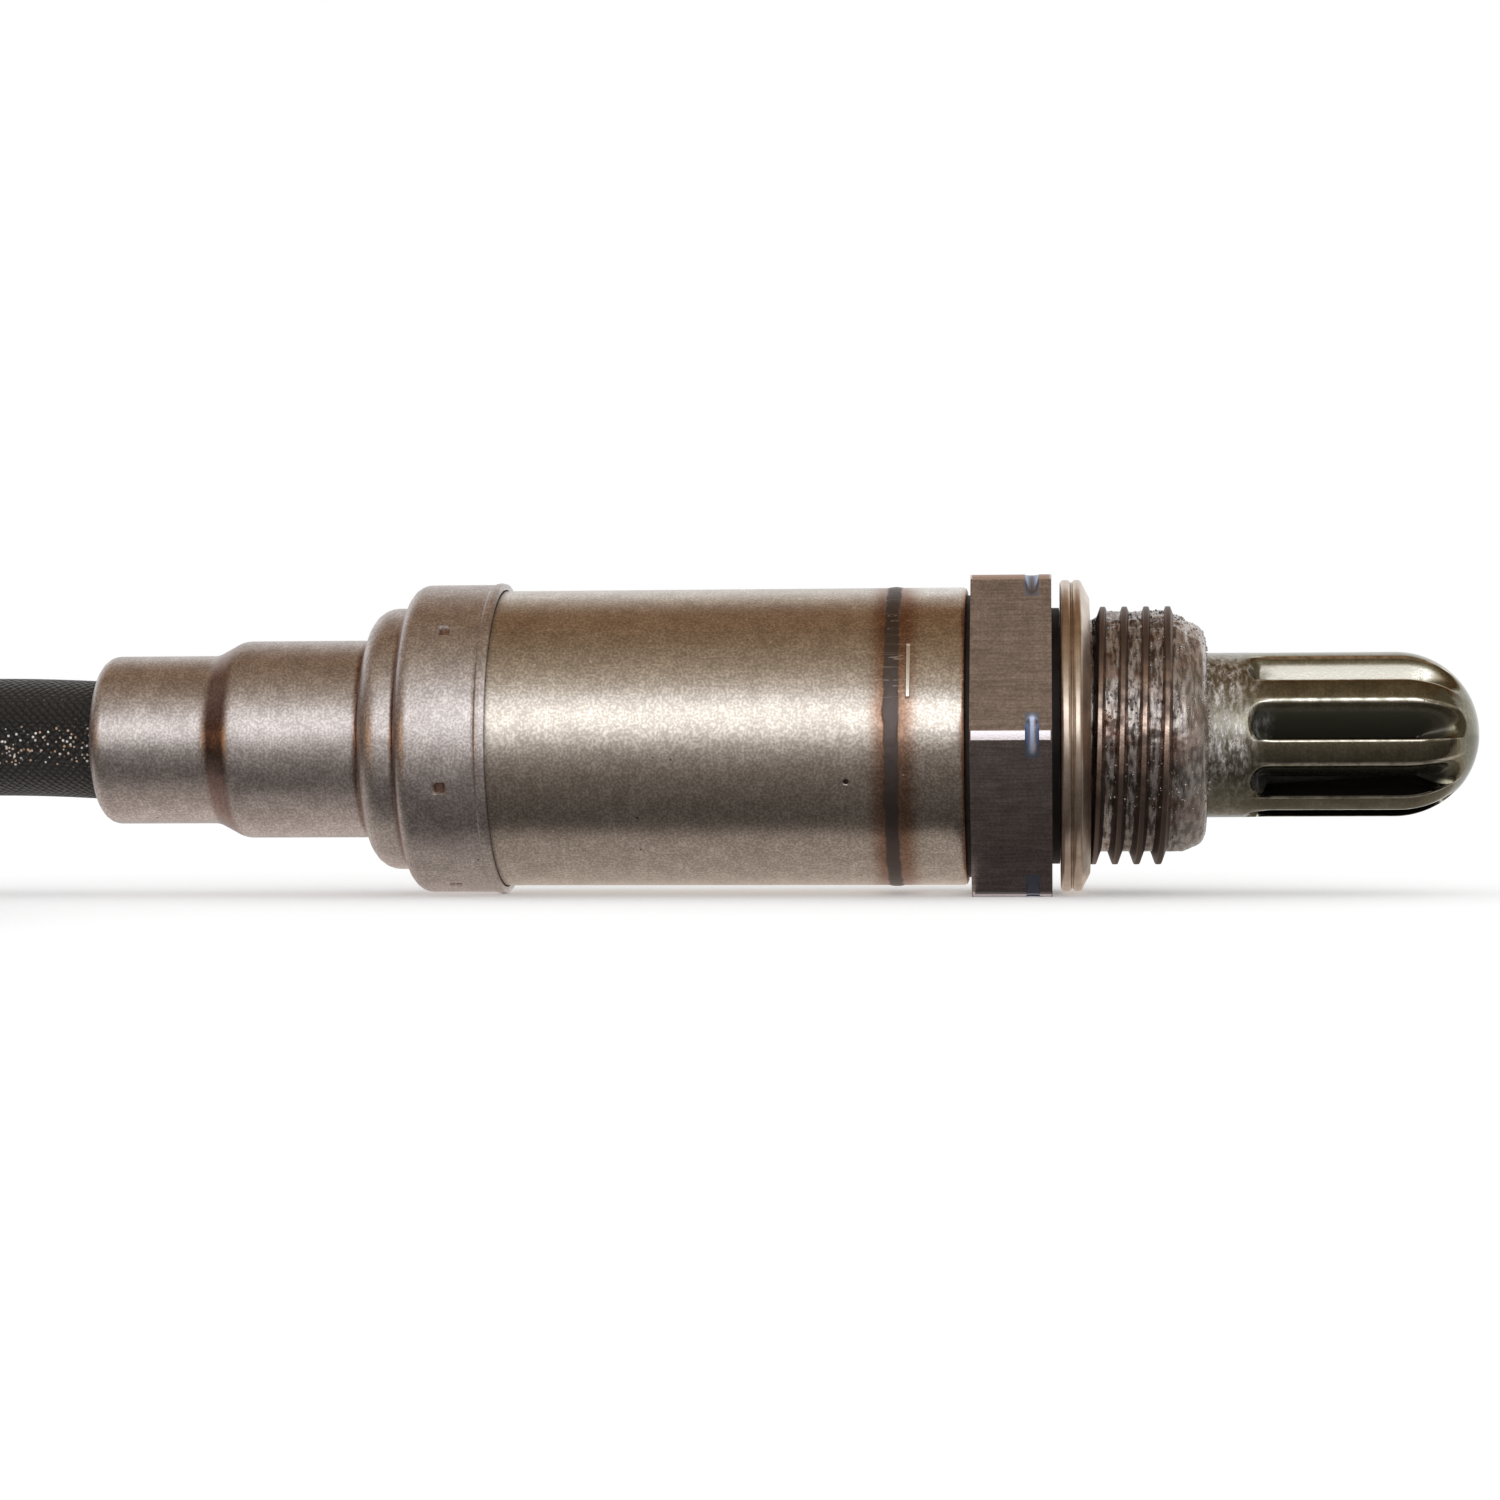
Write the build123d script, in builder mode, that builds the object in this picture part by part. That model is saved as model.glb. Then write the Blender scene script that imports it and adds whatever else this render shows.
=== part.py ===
from build123d import *

import os
from math import atan2, cos, degrees, pi, radians, sin, sqrt, tan

# Heated thimble oxygen sensor with an M18 x 1.5 thread, lying on one flat of its hexagon.
# Lengths are in millimetres. The sensor's axis runs along X, with the rear cap towards -X and the
# louvred protection tube towards +X. Z is up and the origin is on the surface that the sensor
# lies on, below the middle of its length.

os.makedirs("parts", exist_ok=True)

# Driving dimensions, piece by piece

# Rear cap, a deep-drawn stepped tube, from its tail to its flared lip
cap_wall = 0.4
cap_tail_diameter = 11.95
cap_tail_length = 8.7
cap_tail_cone_length = 2.45
cap_mouth_diameter = 8.9
cap_neck_diameter = 14.0
cap_neck_length = 8.35
cap_neck_wall_lean = 0.1
cap_step_inset = 1.625
cap_step_length = 2.9
cap_step_wall_lean = 0.1
cap_skirt_length = 5.7
cap_lip_length = 1.45
cap_lip_flare = 0.08
cap_tail_round = 1.5
cap_cone_round = 1.8
cap_step_round = 1.7
cap_skirt_round = 1.2
cap_inner_round = 0.4
cap_lip_round = 0.9
stake_count = 6
stake_size = 0.9
stake_depth = 0.2
stake_from_lip = 3.9
stake_first_angle = 41.5

# Outer sleeve, welded to the shell's collar
sleeve_diameter = 20.85
sleeve_wall = 0.5
sleeve_bare_length = 32.21
sleeve_rear_clearance = 1.9
sleeve_shoulder_bore = 13.8
sleeve_corner_round = 1.1
weld_width = 1.0
weld_rise = 0.08
weld_from_front = 4.26
sleeve_to_hexagon = 0.52

# Shell, turned and milled from one bar
hexagon_across_flats = 22.0
hexagon_length = 5.69
hexagon_turned_diameter = 24.9
hexagon_chamfer = 0.12
corner_groove_width = 1.0
corner_groove_diameter = 24.0
corner_groove_from_front = 1.26
shell_collar_length = 8.7
neck_diameter = 17.9
neck_length = 0.56
undercut_diameter = 16.4
thread_from_gasket = 0.1
thread_diameter = 18.0
thread_length = 5.2
nose_length = 2.72
nose_taper_length = 1.1
nose_taper_diameter = 16.2
nose_diameter = 14.7
nose_round = 0.8
shell_rear_bore = 15.2
shell_rear_bore_depth = 12.5
shell_seat_bore = 13.2

# Crush gasket, a ring folded from thin strip
gasket_width = 2.07
gasket_ring_width = 1.75
gasket_bore_clearance = 0.3
gasket_crease_depth = 0.55
gasket_crease_width = 0.14
gasket_fold_slit = 0.14
gasket_rear_lobe_share = 0.36
gasket_front_drop = 1.3
gasket_lobe_round = 0.28

# Protection tube with eight louvres pressed in from one side
tube_diameter = 11.46
tube_wall = 0.45
tube_projection = 18.88
tube_flange_width = 0.82
tube_flange_thickness = 0.6
tube_seat_from_nose = 5.32
louvre_count = 8
louvre_first_angle = 10.0
louvre_width = 2.5
louvre_from_nose = 2.68
louvre_from_tip = 1.2
louvre_bend_lead = 0.35
louvre_bend_radius = 0.9
louvre_reach = 2.4
louvre_dip_angle = 36.0

# Zirconia thimble and its sealing ring
thimble_tip_clearance = 3.85
thimble_tip_diameter = 6.0
thimble_root_diameter = 8.4
thimble_neck_diameter = 9.6
thimble_neck_length = 2.6
thimble_collar_length = 3.6
thimble_cone_length = 1.4
thimble_cone_drop = 1.5
thimble_bore = 3.9
thimble_tip_wall = 1.9
seal_ring_width = 0.3

# Heater rod
heater_diameter = 3.2
heater_tip_clearance = 0.6
heater_tail_length = 5.5
heater_end_round = 0.5

# Ceramic holder
holder_diameter = 15.0
holder_head_diameter = 18.8
holder_head_length = 6.3
holder_bore_circle = 9.2
holder_bore_diameter = 2.8
holder_chamber_diameter = 7.6
holder_chamber_depth = 15.3
holder_edge = 0.4
spring_thickness = 0.6
spring_height = 2.4
spring_bore = 14.6

# Contacts and terminals
contact_thickness = 0.5
contact_outer_diameter = 8.6
strip_thickness = 0.3
strip_width = 1.4
ground_ring_wall = 0.3
barrel_diameter = 2.4
barrel_length = 4.0
barrel_from_holder_rear = 1.8
clip_length = 4.0
clip_wall = 0.35
clip_angle = 120.0
clip_from_rod_end = 0.6

# Leads and the grommet that they leave through
lead_diameter = 1.8
lead_in_barrel = 3.6
grommet_front_inset = 0.55
grommet_hole_circle = 6.0
grommet_rib_rise = 0.18
grommet_rib_width = 1.0
grommet_rib_count = 3

# Braided cable and the pieces on it
cable_diameter = 8.4
cable_seat_depth = 4.8
coil_radius = 47.1
coil_gap = 0.9
coil_points_per_turn = 12
cable_rest_height = 4.25
cable_tie_height = 5.6
tie_width = 3.6
tie_thickness = 1.0
tie_clearance = 0.25
tie_head_length = 5.2
tie_head_height = 3.4
tie_tail_length = 9.0
band_grip = 4.6
band_lip = 2.4
band_wall = 0.5
band_clearance = 0.06
tail_lead_offset = 1.9
tail_lead_straight = 4.0
tail_lead_bend = 9.0
tail_lead_turn = 115.0
tail_lead_run_in = 4.0

# Four-way connector on the cable's end
connector_length = 30.0
connector_width = 13.4
connector_round = 1.4
connector_seal_depth = 7.5
connector_seal_wall = 1.5
connector_cavity = 2.5
connector_nose_length = 9.0
connector_nose_step = 0.9
connector_latch_length = 11.0
connector_latch_width = 4.6
connector_latch_rise = 2.0
connector_rib_length = 12.0
connector_rib_width = 1.0
connector_rib_rise = 0.8
lock_from_front = 12.0
lock_thickness = 1.8
lock_depth = 3.2
lock_head = 0.9
terminal_size = 2.2
terminal_wall = 0.3
terminal_length = 9.0
terminal_from_front = 1.0

# Clearances shared by the pieces that fit in one another
slip = 0.05
overrun = 1.0

# Stations along the axis, worked out from the lengths above
cap_length = (
    cap_tail_length
    + cap_tail_cone_length
    + cap_neck_length
    + cap_neck_wall_lean
    + cap_step_length
    + cap_step_wall_lean
    + cap_skirt_length
    + cap_lip_length
)
shell_front_length = (
    hexagon_length + neck_length + gasket_width + thread_length + nose_length
)
overall_length = (
    cap_length
    + sleeve_bare_length
    + sleeve_to_hexagon
    + shell_front_length
    + tube_projection
)
axis_height = hexagon_across_flats / 2
cap_rear = -overall_length / 2
cap_tail_end = cap_rear + cap_tail_length
cap_neck_rear = cap_tail_end + cap_tail_cone_length
cap_neck_front = cap_neck_rear + cap_neck_length
cap_step_rear = cap_neck_front + cap_neck_wall_lean
cap_step_front = cap_step_rear + cap_step_length
cap_skirt_rear = cap_step_front + cap_step_wall_lean
cap_skirt_front = cap_skirt_rear + cap_skirt_length
cap_front = cap_skirt_front + cap_lip_length
sleeve_rear = cap_skirt_rear + sleeve_rear_clearance
sleeve_front = cap_front + sleeve_bare_length
hexagon_rear = sleeve_front + sleeve_to_hexagon
hexagon_front = hexagon_rear + hexagon_length
gasket_rear = hexagon_front + neck_length
gasket_front = gasket_rear + gasket_width
thread_rear = gasket_front + thread_from_gasket
thread_front = gasket_front + thread_length
nose_front = thread_front + nose_length
tip_front = nose_front + tube_projection
shell_rear = hexagon_rear - shell_collar_length
tube_seat = nose_front - tube_seat_from_nose

# Radii that several pieces share
sleeve_radius = sleeve_diameter / 2
sleeve_bore_radius = sleeve_radius - sleeve_wall
cap_skirt_bore_radius = sleeve_radius + slip
cap_skirt_radius = cap_skirt_bore_radius + cap_wall
tube_radius = tube_diameter / 2
tube_bore_radius = tube_radius - tube_wall
tube_flange_radius = tube_radius + tube_flange_width
dome_centre = tip_front - tube_radius
lead_radius = lead_diameter / 2
cable_radius = cable_diameter / 2

sensor_axis = Axis((0, 0, axis_height), (1, 0, 0))
profile_plane = Plane(origin=(0, 0, axis_height), x_dir=(1, 0, 0), z_dir=(0, -1, 0))


def cross_plane(station):
    """The plane square to the sensor's axis at a station, with Y across and Z up."""
    return Plane(origin=(station, 0, axis_height), x_dir=(0, 1, 0), z_dir=(1, 0, 0))


def clock_plane(station, angle):
    """The same plane turned, so that its second axis points outwards at an angle above the
    horizontal on the side that faces -Y."""
    turn = radians(angle)
    return Plane(
        origin=(station, 0, axis_height),
        x_dir=(0, sin(turn), cos(turn)),
        z_dir=(1, 0, 0),
    )


def outward_plane(angle):
    """The plane through the axis that faces outwards at that same angle, with X along it."""
    turn = radians(angle)
    return Plane(
        origin=(0, 0, axis_height),
        x_dir=(1, 0, 0),
        z_dir=(0, -cos(turn), sin(turn)),
    )


def turn_outline(points, mode=Mode.ADD):
    """Turns a closed outline of station and radius pairs about the sensor's axis."""
    with BuildSketch(profile_plane) as outline:
        with BuildLine():
            Polyline(*points, close=True)
        make_face()
    revolve(outline.sketch, axis=sensor_axis, mode=mode)


def arc_radii(points, share=0.45):
    """The largest arc that each corner of a route leaves room for."""
    corners = [Vector(*point) for point in points]
    radii = []
    for before, here, after in zip(corners, corners[1:], corners[2:]):
        run_in, run_out = here - before, after - here
        half_turn = radians(run_in.get_angle(run_out)) / 2
        radii.append(share * min(run_in.length, run_out.length) / tan(half_turn))
    return radii


def save(part, name):
    """Labels a finished piece and writes it to its own file."""
    part.label = name
    export_step(part, f"parts/{name}.step")


# Shell: the collar that takes the sleeve, the hexagon and the threaded front are one turned piece,
# bored through for the ceramics, with a seat near the front for the protection tube's flange
collar_radius = sleeve_bore_radius - slip
thread_radius = thread_diameter / 2
neck_radius = neck_diameter / 2
turned_radius = hexagon_turned_diameter / 2
groove_front = hexagon_front - corner_groove_from_front
groove_rear = groove_front - corner_groove_width
rear_bore_radius = shell_rear_bore / 2
rear_bore_end = shell_rear + shell_rear_bore_depth
seat_bore_radius = shell_seat_bore / 2
flat_radius = hexagon_across_flats / 2

with BuildPart() as shell:
    with BuildSketch(cross_plane(hexagon_rear)):
        RegularPolygon(radius=flat_radius, side_count=6, major_radius=False)
    extrude(amount=hexagon_length)
    turn_outline(
        [
            (hexagon_rear, 0),
            (hexagon_rear, turned_radius - hexagon_chamfer),
            (hexagon_rear + hexagon_chamfer, turned_radius),
            (hexagon_front - hexagon_chamfer, turned_radius),
            (hexagon_front, turned_radius - hexagon_chamfer),
            (hexagon_front, 0),
        ],
        mode=Mode.INTERSECT,
    )
    turn_outline(
        [
            (groove_rear, corner_groove_diameter / 2),
            (groove_rear, turned_radius + overrun),
            (groove_front, turned_radius + overrun),
            (groove_front, corner_groove_diameter / 2),
        ],
        mode=Mode.SUBTRACT,
    )
    turn_outline(
        [
            (shell_rear, 0),
            (shell_rear, collar_radius),
            (hexagon_rear + hexagon_chamfer, collar_radius),
            (hexagon_rear + hexagon_chamfer, neck_radius),
            (gasket_rear, neck_radius),
            (gasket_rear, undercut_diameter / 2),
            (thread_rear, undercut_diameter / 2),
            (thread_rear, thread_radius),
            (thread_front, thread_radius),
            (thread_front + nose_taper_length, nose_taper_diameter / 2),
            (nose_front, nose_diameter / 2),
            (nose_front, 0),
        ]
    )
    nose_edge = shell.edges().filter_by(GeomType.CIRCLE).sort_by(Axis.X)[-1]
    fillet(nose_edge, radius=nose_round)
    turn_outline(
        [
            (shell_rear - overrun, 0),
            (shell_rear - overrun, rear_bore_radius),
            (rear_bore_end, rear_bore_radius),
            (rear_bore_end, seat_bore_radius),
            (tube_seat, seat_bore_radius),
            (tube_seat, tube_radius + slip),
            (nose_front + overrun, tube_radius + slip),
            (nose_front + overrun, 0),
        ],
        mode=Mode.SUBTRACT,
    )
save(shell.part, "shell")

# Crush gasket: two rolled lobes side by side with a crease between them, hollow where the strip
# is folded back on itself
gasket_bore_radius = thread_radius + gasket_bore_clearance / 2
gasket_radius = gasket_bore_radius + gasket_ring_width
crease = gasket_rear + gasket_width * gasket_rear_lobe_share
lobe_peak = crease + gasket_width * gasket_rear_lobe_share / 2
slit_rear = crease + (gasket_front - crease) / 2 - gasket_fold_slit / 2

with BuildPart() as seat_gasket:
    with BuildSketch(profile_plane) as lobes:
        with BuildLine():
            Polyline(
                (gasket_rear, gasket_bore_radius),
                (gasket_rear, gasket_radius),
                (crease - gasket_crease_width / 2, gasket_radius),
                (crease, gasket_radius - gasket_crease_depth),
                (crease + gasket_crease_width / 2, gasket_radius),
                (lobe_peak, gasket_radius),
                (gasket_front, gasket_radius - gasket_front_drop),
                (gasket_front, gasket_bore_radius),
                close=True,
            )
        make_face()
        outer_corners = lobes.vertices().group_by(Axis.Z)[-1]
        fillet(outer_corners.sort_by(Axis.X)[0], radius=gasket_lobe_round)
    revolve(axis=sensor_axis)
    turn_outline(
        [
            (slit_rear, gasket_bore_radius - overrun),
            (slit_rear, gasket_radius - gasket_front_drop),
            (slit_rear + gasket_fold_slit, gasket_radius - gasket_front_drop),
            (slit_rear + gasket_fold_slit, gasket_bore_radius - overrun),
        ],
        mode=Mode.SUBTRACT,
    )
save(seat_gasket.part, "seat_gasket")

# Protection tube: drawn in one piece with a round end and a flange that the shell holds, with
# eight louvres sheared along their lower edge and pressed inwards about their upper one, closed
# and rounded at both ends
louvre_rear = nose_front + louvre_from_nose
louvre_front = tip_front - louvre_from_tip
louvre_half = louvre_width / 2
louvre_length = louvre_front - louvre_rear
louvre_straight = louvre_length - louvre_width
louvre_middle = (louvre_rear + louvre_front) / 2
press_length = louvre_length + overrun * 2
press_side = louvre_half + tube_wall + overrun
press_top = tube_radius + overrun
louvre_angles = [
    louvre_first_angle + 360 * turn / louvre_count for turn in range(louvre_count)
]
wall_middle = tube_radius - tube_wall / 2
root_across = louvre_half + tube_wall
root_point = (root_across, sqrt(wall_middle**2 - root_across**2))
hinge_point = (louvre_half, sqrt(wall_middle**2 - louvre_half**2))
bend_point = (
    hinge_point[0] - louvre_bend_lead * hinge_point[1] / wall_middle,
    hinge_point[1] + louvre_bend_lead * hinge_point[0] / wall_middle,
)
flap_point = (
    bend_point[0] - louvre_reach * cos(radians(louvre_dip_angle)),
    bend_point[1] - louvre_reach * sin(radians(louvre_dip_angle)),
)


def round_ended_bar(radius):
    """Half the outline of a round-ended bar of the tube's length, as a filled sketch."""
    with BuildSketch(profile_plane) as outline:
        with BuildLine():
            side = Line((tube_seat, radius), (dome_centre, radius))
            dome = CenterArc((dome_centre, 0), radius, start_angle=90, arc_size=-90)
            Polyline(dome @ 1, (tube_seat, 0), side @ 0)
        make_face()
    return outline.sketch


# The press's outline above the bent flap, seen along the axis
with BuildSketch(clock_plane(louvre_rear - overrun, 0)) as press_section:
    with BuildLine():
        bend = FilletPolyline(root_point, bend_point, flap_point, radius=louvre_bend_radius)
        Polyline(
            bend @ 1,
            (-press_side, flap_point[1]),
            (-press_side, press_top),
            (press_side, press_top),
            (press_side, root_point[1]),
            bend @ 0,
        )
    make_face()

with BuildPart() as pressed_hollow:
    extrude(press_section.sketch, amount=press_length)
    with BuildSketch(outward_plane(0)):
        with Locations((louvre_middle, 0)):
            SlotOverall(louvre_length, louvre_width)
    extrude(amount=tube_diameter, mode=Mode.INTERSECT)

with BuildPart() as louvre_ends:
    extrude(press_section.sketch, amount=press_length)
    with BuildSketch(outward_plane(0)):
        with Locations((louvre_middle, 0)):
            SlotOverall(louvre_length + tube_wall * 2, louvre_width + tube_wall * 2)
            SlotOverall(louvre_length, louvre_width, mode=Mode.SUBTRACT)
            Rectangle(louvre_straight, press_side * 2, mode=Mode.SUBTRACT)
    extrude(amount=tube_diameter, mode=Mode.INTERSECT)

with BuildPart() as flap:
    with BuildSketch(clock_plane(louvre_rear - overrun, 0)):
        with BuildLine():
            FilletPolyline(root_point, bend_point, flap_point, radius=louvre_bend_radius)
        trace(line_width=tube_wall)
    extrude(amount=press_length)
    with BuildSketch(outward_plane(0)):
        with Locations((louvre_middle, 0)):
            SlotOverall(louvre_length + tube_wall * 2, louvre_width + tube_wall * 2)
        with Locations((louvre_middle, -louvre_half)):
            Rectangle(
                louvre_straight, press_side, align=(Align.CENTER, Align.MAX), mode=Mode.SUBTRACT
            )
    extrude(amount=tube_diameter, mode=Mode.INTERSECT)
    add(louvre_ends.part)
    revolve(round_ended_bar(tube_radius), axis=sensor_axis, mode=Mode.INTERSECT)

with BuildPart() as protection_tube:
    revolve(round_ended_bar(tube_radius), axis=sensor_axis)
    turn_outline(
        [
            (tube_seat - tube_flange_thickness, 0),
            (tube_seat - tube_flange_thickness, tube_flange_radius),
            (tube_seat, tube_flange_radius),
            (tube_seat, 0),
        ]
    )
    revolve(round_ended_bar(tube_bore_radius), axis=sensor_axis, mode=Mode.SUBTRACT)
    turn_outline(
        [
            (tube_seat - tube_flange_thickness - overrun, 0),
            (tube_seat - tube_flange_thickness - overrun, tube_bore_radius),
            (tube_seat, tube_bore_radius),
            (tube_seat, 0),
        ],
        mode=Mode.SUBTRACT,
    )
    for angle in louvre_angles:
        add(pressed_hollow.part.rotate(sensor_axis, -angle), mode=Mode.SUBTRACT)
    for angle in louvre_angles:
        add(flap.part.rotate(sensor_axis, -angle))
# The cuts over the dome leave a loose face behind, so only the tube itself is kept
save(protection_tube.part.solids().sort_by(SortBy.VOLUME)[-1], "protection_tube")

# Outer sleeve: a drawn tube with a shoulder turned inwards at its rear, slid over the shell's
# collar and welded to it all round, which leaves a low bead
weld_front = sleeve_front - weld_from_front
weld_rear = weld_front - weld_width

with BuildPart() as outer_sleeve:
    with BuildSketch(profile_plane):
        with BuildLine():
            FilletPolyline(
                (sleeve_rear, sleeve_shoulder_bore / 2),
                (sleeve_rear, sleeve_radius),
                (sleeve_front, sleeve_radius),
                radius=sleeve_corner_round,
            )
            offset(amount=sleeve_wall, side=Side.RIGHT)
        make_face()
    revolve(axis=sensor_axis)
    turn_outline(
        [
            (weld_rear, sleeve_radius - sleeve_wall / 2),
            (weld_rear, sleeve_radius),
            (weld_rear + weld_width / 4, sleeve_radius + weld_rise),
            (weld_front - weld_width / 4, sleeve_radius + weld_rise),
            (weld_front, sleeve_radius),
            (weld_front, sleeve_radius - sleeve_wall / 2),
        ]
    )
save(outer_sleeve.part, "outer_sleeve")

# Rear cap: one deep-drawn tube in four diameters, pushed over the sleeve's rear and staked to it
# with six square punch marks behind its flared lip
cap_tail_radius = cap_tail_diameter / 2
cap_neck_radius = cap_neck_diameter / 2
cap_step_radius = cap_skirt_radius - cap_step_inset
stake_station = cap_front - stake_from_lip

with BuildPart() as rear_cap:
    with BuildSketch(profile_plane):
        with BuildLine():
            FilletPolyline(
                (cap_rear, cap_mouth_diameter / 2),
                (cap_rear, cap_tail_radius),
                (cap_tail_end, cap_tail_radius),
                (cap_neck_rear, cap_neck_radius),
                (cap_neck_front, cap_neck_radius),
                (cap_step_rear, cap_step_radius),
                (cap_step_front, cap_step_radius),
                (cap_skirt_rear, cap_skirt_radius),
                (cap_skirt_front, cap_skirt_radius),
                (cap_front, cap_skirt_radius + cap_lip_flare),
                radius=[
                    cap_tail_round,
                    cap_cone_round,
                    cap_cone_round,
                    cap_inner_round,
                    cap_step_round,
                    cap_inner_round,
                    cap_skirt_round,
                    cap_lip_round,
                ],
            )
            offset(amount=cap_wall, side=Side.RIGHT)
        make_face()
    revolve(axis=sensor_axis)
    for turn in range(stake_count):
        angle = stake_first_angle + 360 * turn / stake_count
        with BuildSketch(outward_plane(angle).offset(cap_skirt_radius - stake_depth)):
            with Locations((stake_station, 0)):
                Rectangle(stake_size, stake_size)
        extrude(amount=overrun, mode=Mode.SUBTRACT)
save(rear_cap.part, "rear_cap")

# Zirconia thimble: a ceramic finger, closed at its tip, with a collar that a coned sealing ring
# carries in front of the tube's flange
flange_rear = tube_seat - tube_flange_thickness
cone_front = flange_rear - seal_ring_width - slip
collar_front = cone_front - thimble_cone_length
collar_rear = collar_front - thimble_collar_length
thimble_rear = collar_rear - thimble_neck_length
thimble_collar_radius = seat_bore_radius - slip * 2
thimble_neck_radius = thimble_neck_diameter / 2
thimble_root_radius = thimble_root_diameter / 2
thimble_tip_radius = thimble_tip_diameter / 2
cone_radius = thimble_collar_radius - thimble_cone_drop
thimble_tip = tip_front - tube_wall - thimble_tip_clearance
thimble_tip_centre = thimble_tip - thimble_tip_radius
thimble_bore_radius = thimble_bore / 2
bore_centre = thimble_tip - thimble_tip_wall - thimble_bore_radius

with BuildPart() as zirconia_thimble:
    with BuildSketch(profile_plane):
        with BuildLine():
            finger = Polyline(
                (thimble_rear, thimble_bore_radius),
                (thimble_rear, thimble_neck_radius),
                (collar_rear, thimble_neck_radius),
                (collar_rear, thimble_collar_radius),
                (collar_front, thimble_collar_radius),
                (cone_front, cone_radius),
                (cone_front, thimble_root_radius),
                (thimble_tip_centre, thimble_tip_radius),
            )
            tip = CenterArc(
                (thimble_tip_centre, 0), thimble_tip_radius, start_angle=90, arc_size=-90
            )
            bore_end = CenterArc(
                (bore_centre, 0), thimble_bore_radius, start_angle=0, arc_size=90
            )
            Line(tip @ 1, bore_end @ 0)
            Line(bore_end @ 1, finger @ 0)
        make_face()
    revolve(axis=sensor_axis)
save(zirconia_thimble.part, "zirconia_thimble")

# Sealing ring: a soft metal ring with a coned rear face under the thimble's collar
ring_radius = seat_bore_radius - slip

with BuildPart() as seal_ring:
    turn_outline(
        [
            (collar_front + slip * 2, ring_radius),
            (flange_rear - slip / 2, ring_radius),
            (flange_rear - slip / 2, cone_radius + slip),
            (cone_front + slip * 2, cone_radius + slip),
        ]
    )
save(seal_ring.part, "seal_ring")

# Contacts of the thimble: the inner one is a washer on its rear face, the ground one is a ring
# around its neck that rests on the collar, and a strip runs back from each through the holder
contact_front = thimble_rear - slip
contact_rear = contact_front - contact_thickness
holder_front = contact_rear - slip
spring_front = sleeve_rear + sleeve_wall + slip + spring_height
holder_rear = spring_front + slip
barrel_rear = holder_rear + barrel_from_holder_rear
barrel_front = barrel_rear + barrel_length
barrel_radius = barrel_diameter / 2
bore_circle_radius = holder_bore_circle / 2
contact_radius = contact_outer_diameter / 2
ground_ring_bore = thimble_neck_radius + slip * 2
ground_ring_radius = ground_ring_bore + ground_ring_wall


def crimped_strip(inner_radius, front):
    """A terminal strip along the holder's upper bore, with a crimp barrel at its rear."""
    with BuildSketch(cross_plane(barrel_rear)) as barrel:
        with Locations((0, bore_circle_radius)):
            Circle(barrel_radius)
            Circle(lead_radius + slip / 2, mode=Mode.SUBTRACT)
    extrude(barrel.sketch, amount=barrel_length)
    with BuildSketch(cross_plane(barrel_front)) as barrel_end:
        with Locations((0, bore_circle_radius)):
            Circle(barrel_radius)
    extrude(barrel_end.sketch, amount=strip_thickness)
    with BuildSketch(cross_plane(barrel_front)) as strip:
        with Locations((0, inner_radius)):
            Rectangle(
                strip_width, strip_thickness, align=(Align.CENTER, Align.MIN)
            )
    extrude(strip.sketch, amount=front - barrel_front)


with BuildPart() as signal_contact:
    with BuildSketch(cross_plane(contact_rear)):
        Circle(contact_radius)
        Circle(thimble_bore_radius, mode=Mode.SUBTRACT)
    extrude(amount=contact_thickness)
    crimped_strip(contact_radius - strip_thickness * 2, contact_front)
save(signal_contact.part, "signal_contact")

with BuildPart() as ground_build:
    with BuildSketch(cross_plane(contact_rear)):
        Circle(ground_ring_radius)
        Circle(ground_ring_bore, mode=Mode.SUBTRACT)
    extrude(amount=collar_rear - slip - contact_rear)
    crimped_strip(ground_ring_bore + ground_ring_wall / 2, contact_front)
ground_contact = ground_build.part.rotate(sensor_axis, 180)
save(ground_contact, "ground_contact")

# Heater rod: a slim ceramic rod down the middle of the thimble
heater_radius = heater_diameter / 2
heater_front = thimble_tip - thimble_tip_wall - heater_tip_clearance
chamber_front = holder_rear + holder_chamber_depth
heater_rear = chamber_front - heater_tail_length

with BuildPart() as heater_rod:
    with BuildSketch(cross_plane(heater_rear)):
        Circle(heater_radius)
    extrude(amount=heater_front - heater_rear)
    fillet(heater_rod.edges().filter_by(GeomType.CIRCLE), radius=heater_end_round)
save(heater_rod.part, "heater_rod")

# Heater terminals: two alike, each a saddle on the rod's rear with a leg out to its crimp barrel
clip_rear = heater_rear + clip_from_rod_end
clip_bore = heater_radius + slip
clip_radius = clip_bore + clip_wall
leg_radius = bore_circle_radius - barrel_radius

with BuildPart() as heater_terminal:
    with BuildSketch(cross_plane(clip_rear)):
        Circle(clip_radius)
        Circle(clip_bore, mode=Mode.SUBTRACT)
        with BuildLine():
            spread = radians(clip_angle / 2)
            reach = clip_radius * 2
            Polyline(
                (0, 0),
                (reach * sin(spread), reach * cos(spread)),
                (0, reach),
                (-reach * sin(spread), reach * cos(spread)),
                close=True,
            )
        make_face(mode=Mode.INTERSECT)
    extrude(amount=clip_length)
    with BuildSketch(cross_plane(clip_rear)):
        with Locations((0, clip_bore + clip_wall / 2)):
            Rectangle(
                strip_width,
                leg_radius + strip_thickness - clip_bore - clip_wall / 2,
                align=(Align.CENTER, Align.MIN),
            )
    extrude(amount=strip_thickness)
    crimped_strip(leg_radius, clip_rear + strip_thickness)
heater_terminals = Compound(
    children=[
        heater_terminal.part.rotate(sensor_axis, 90),
        heater_terminal.part.rotate(sensor_axis, -90),
    ]
)
save(heater_terminals, "heater_terminals")

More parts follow.
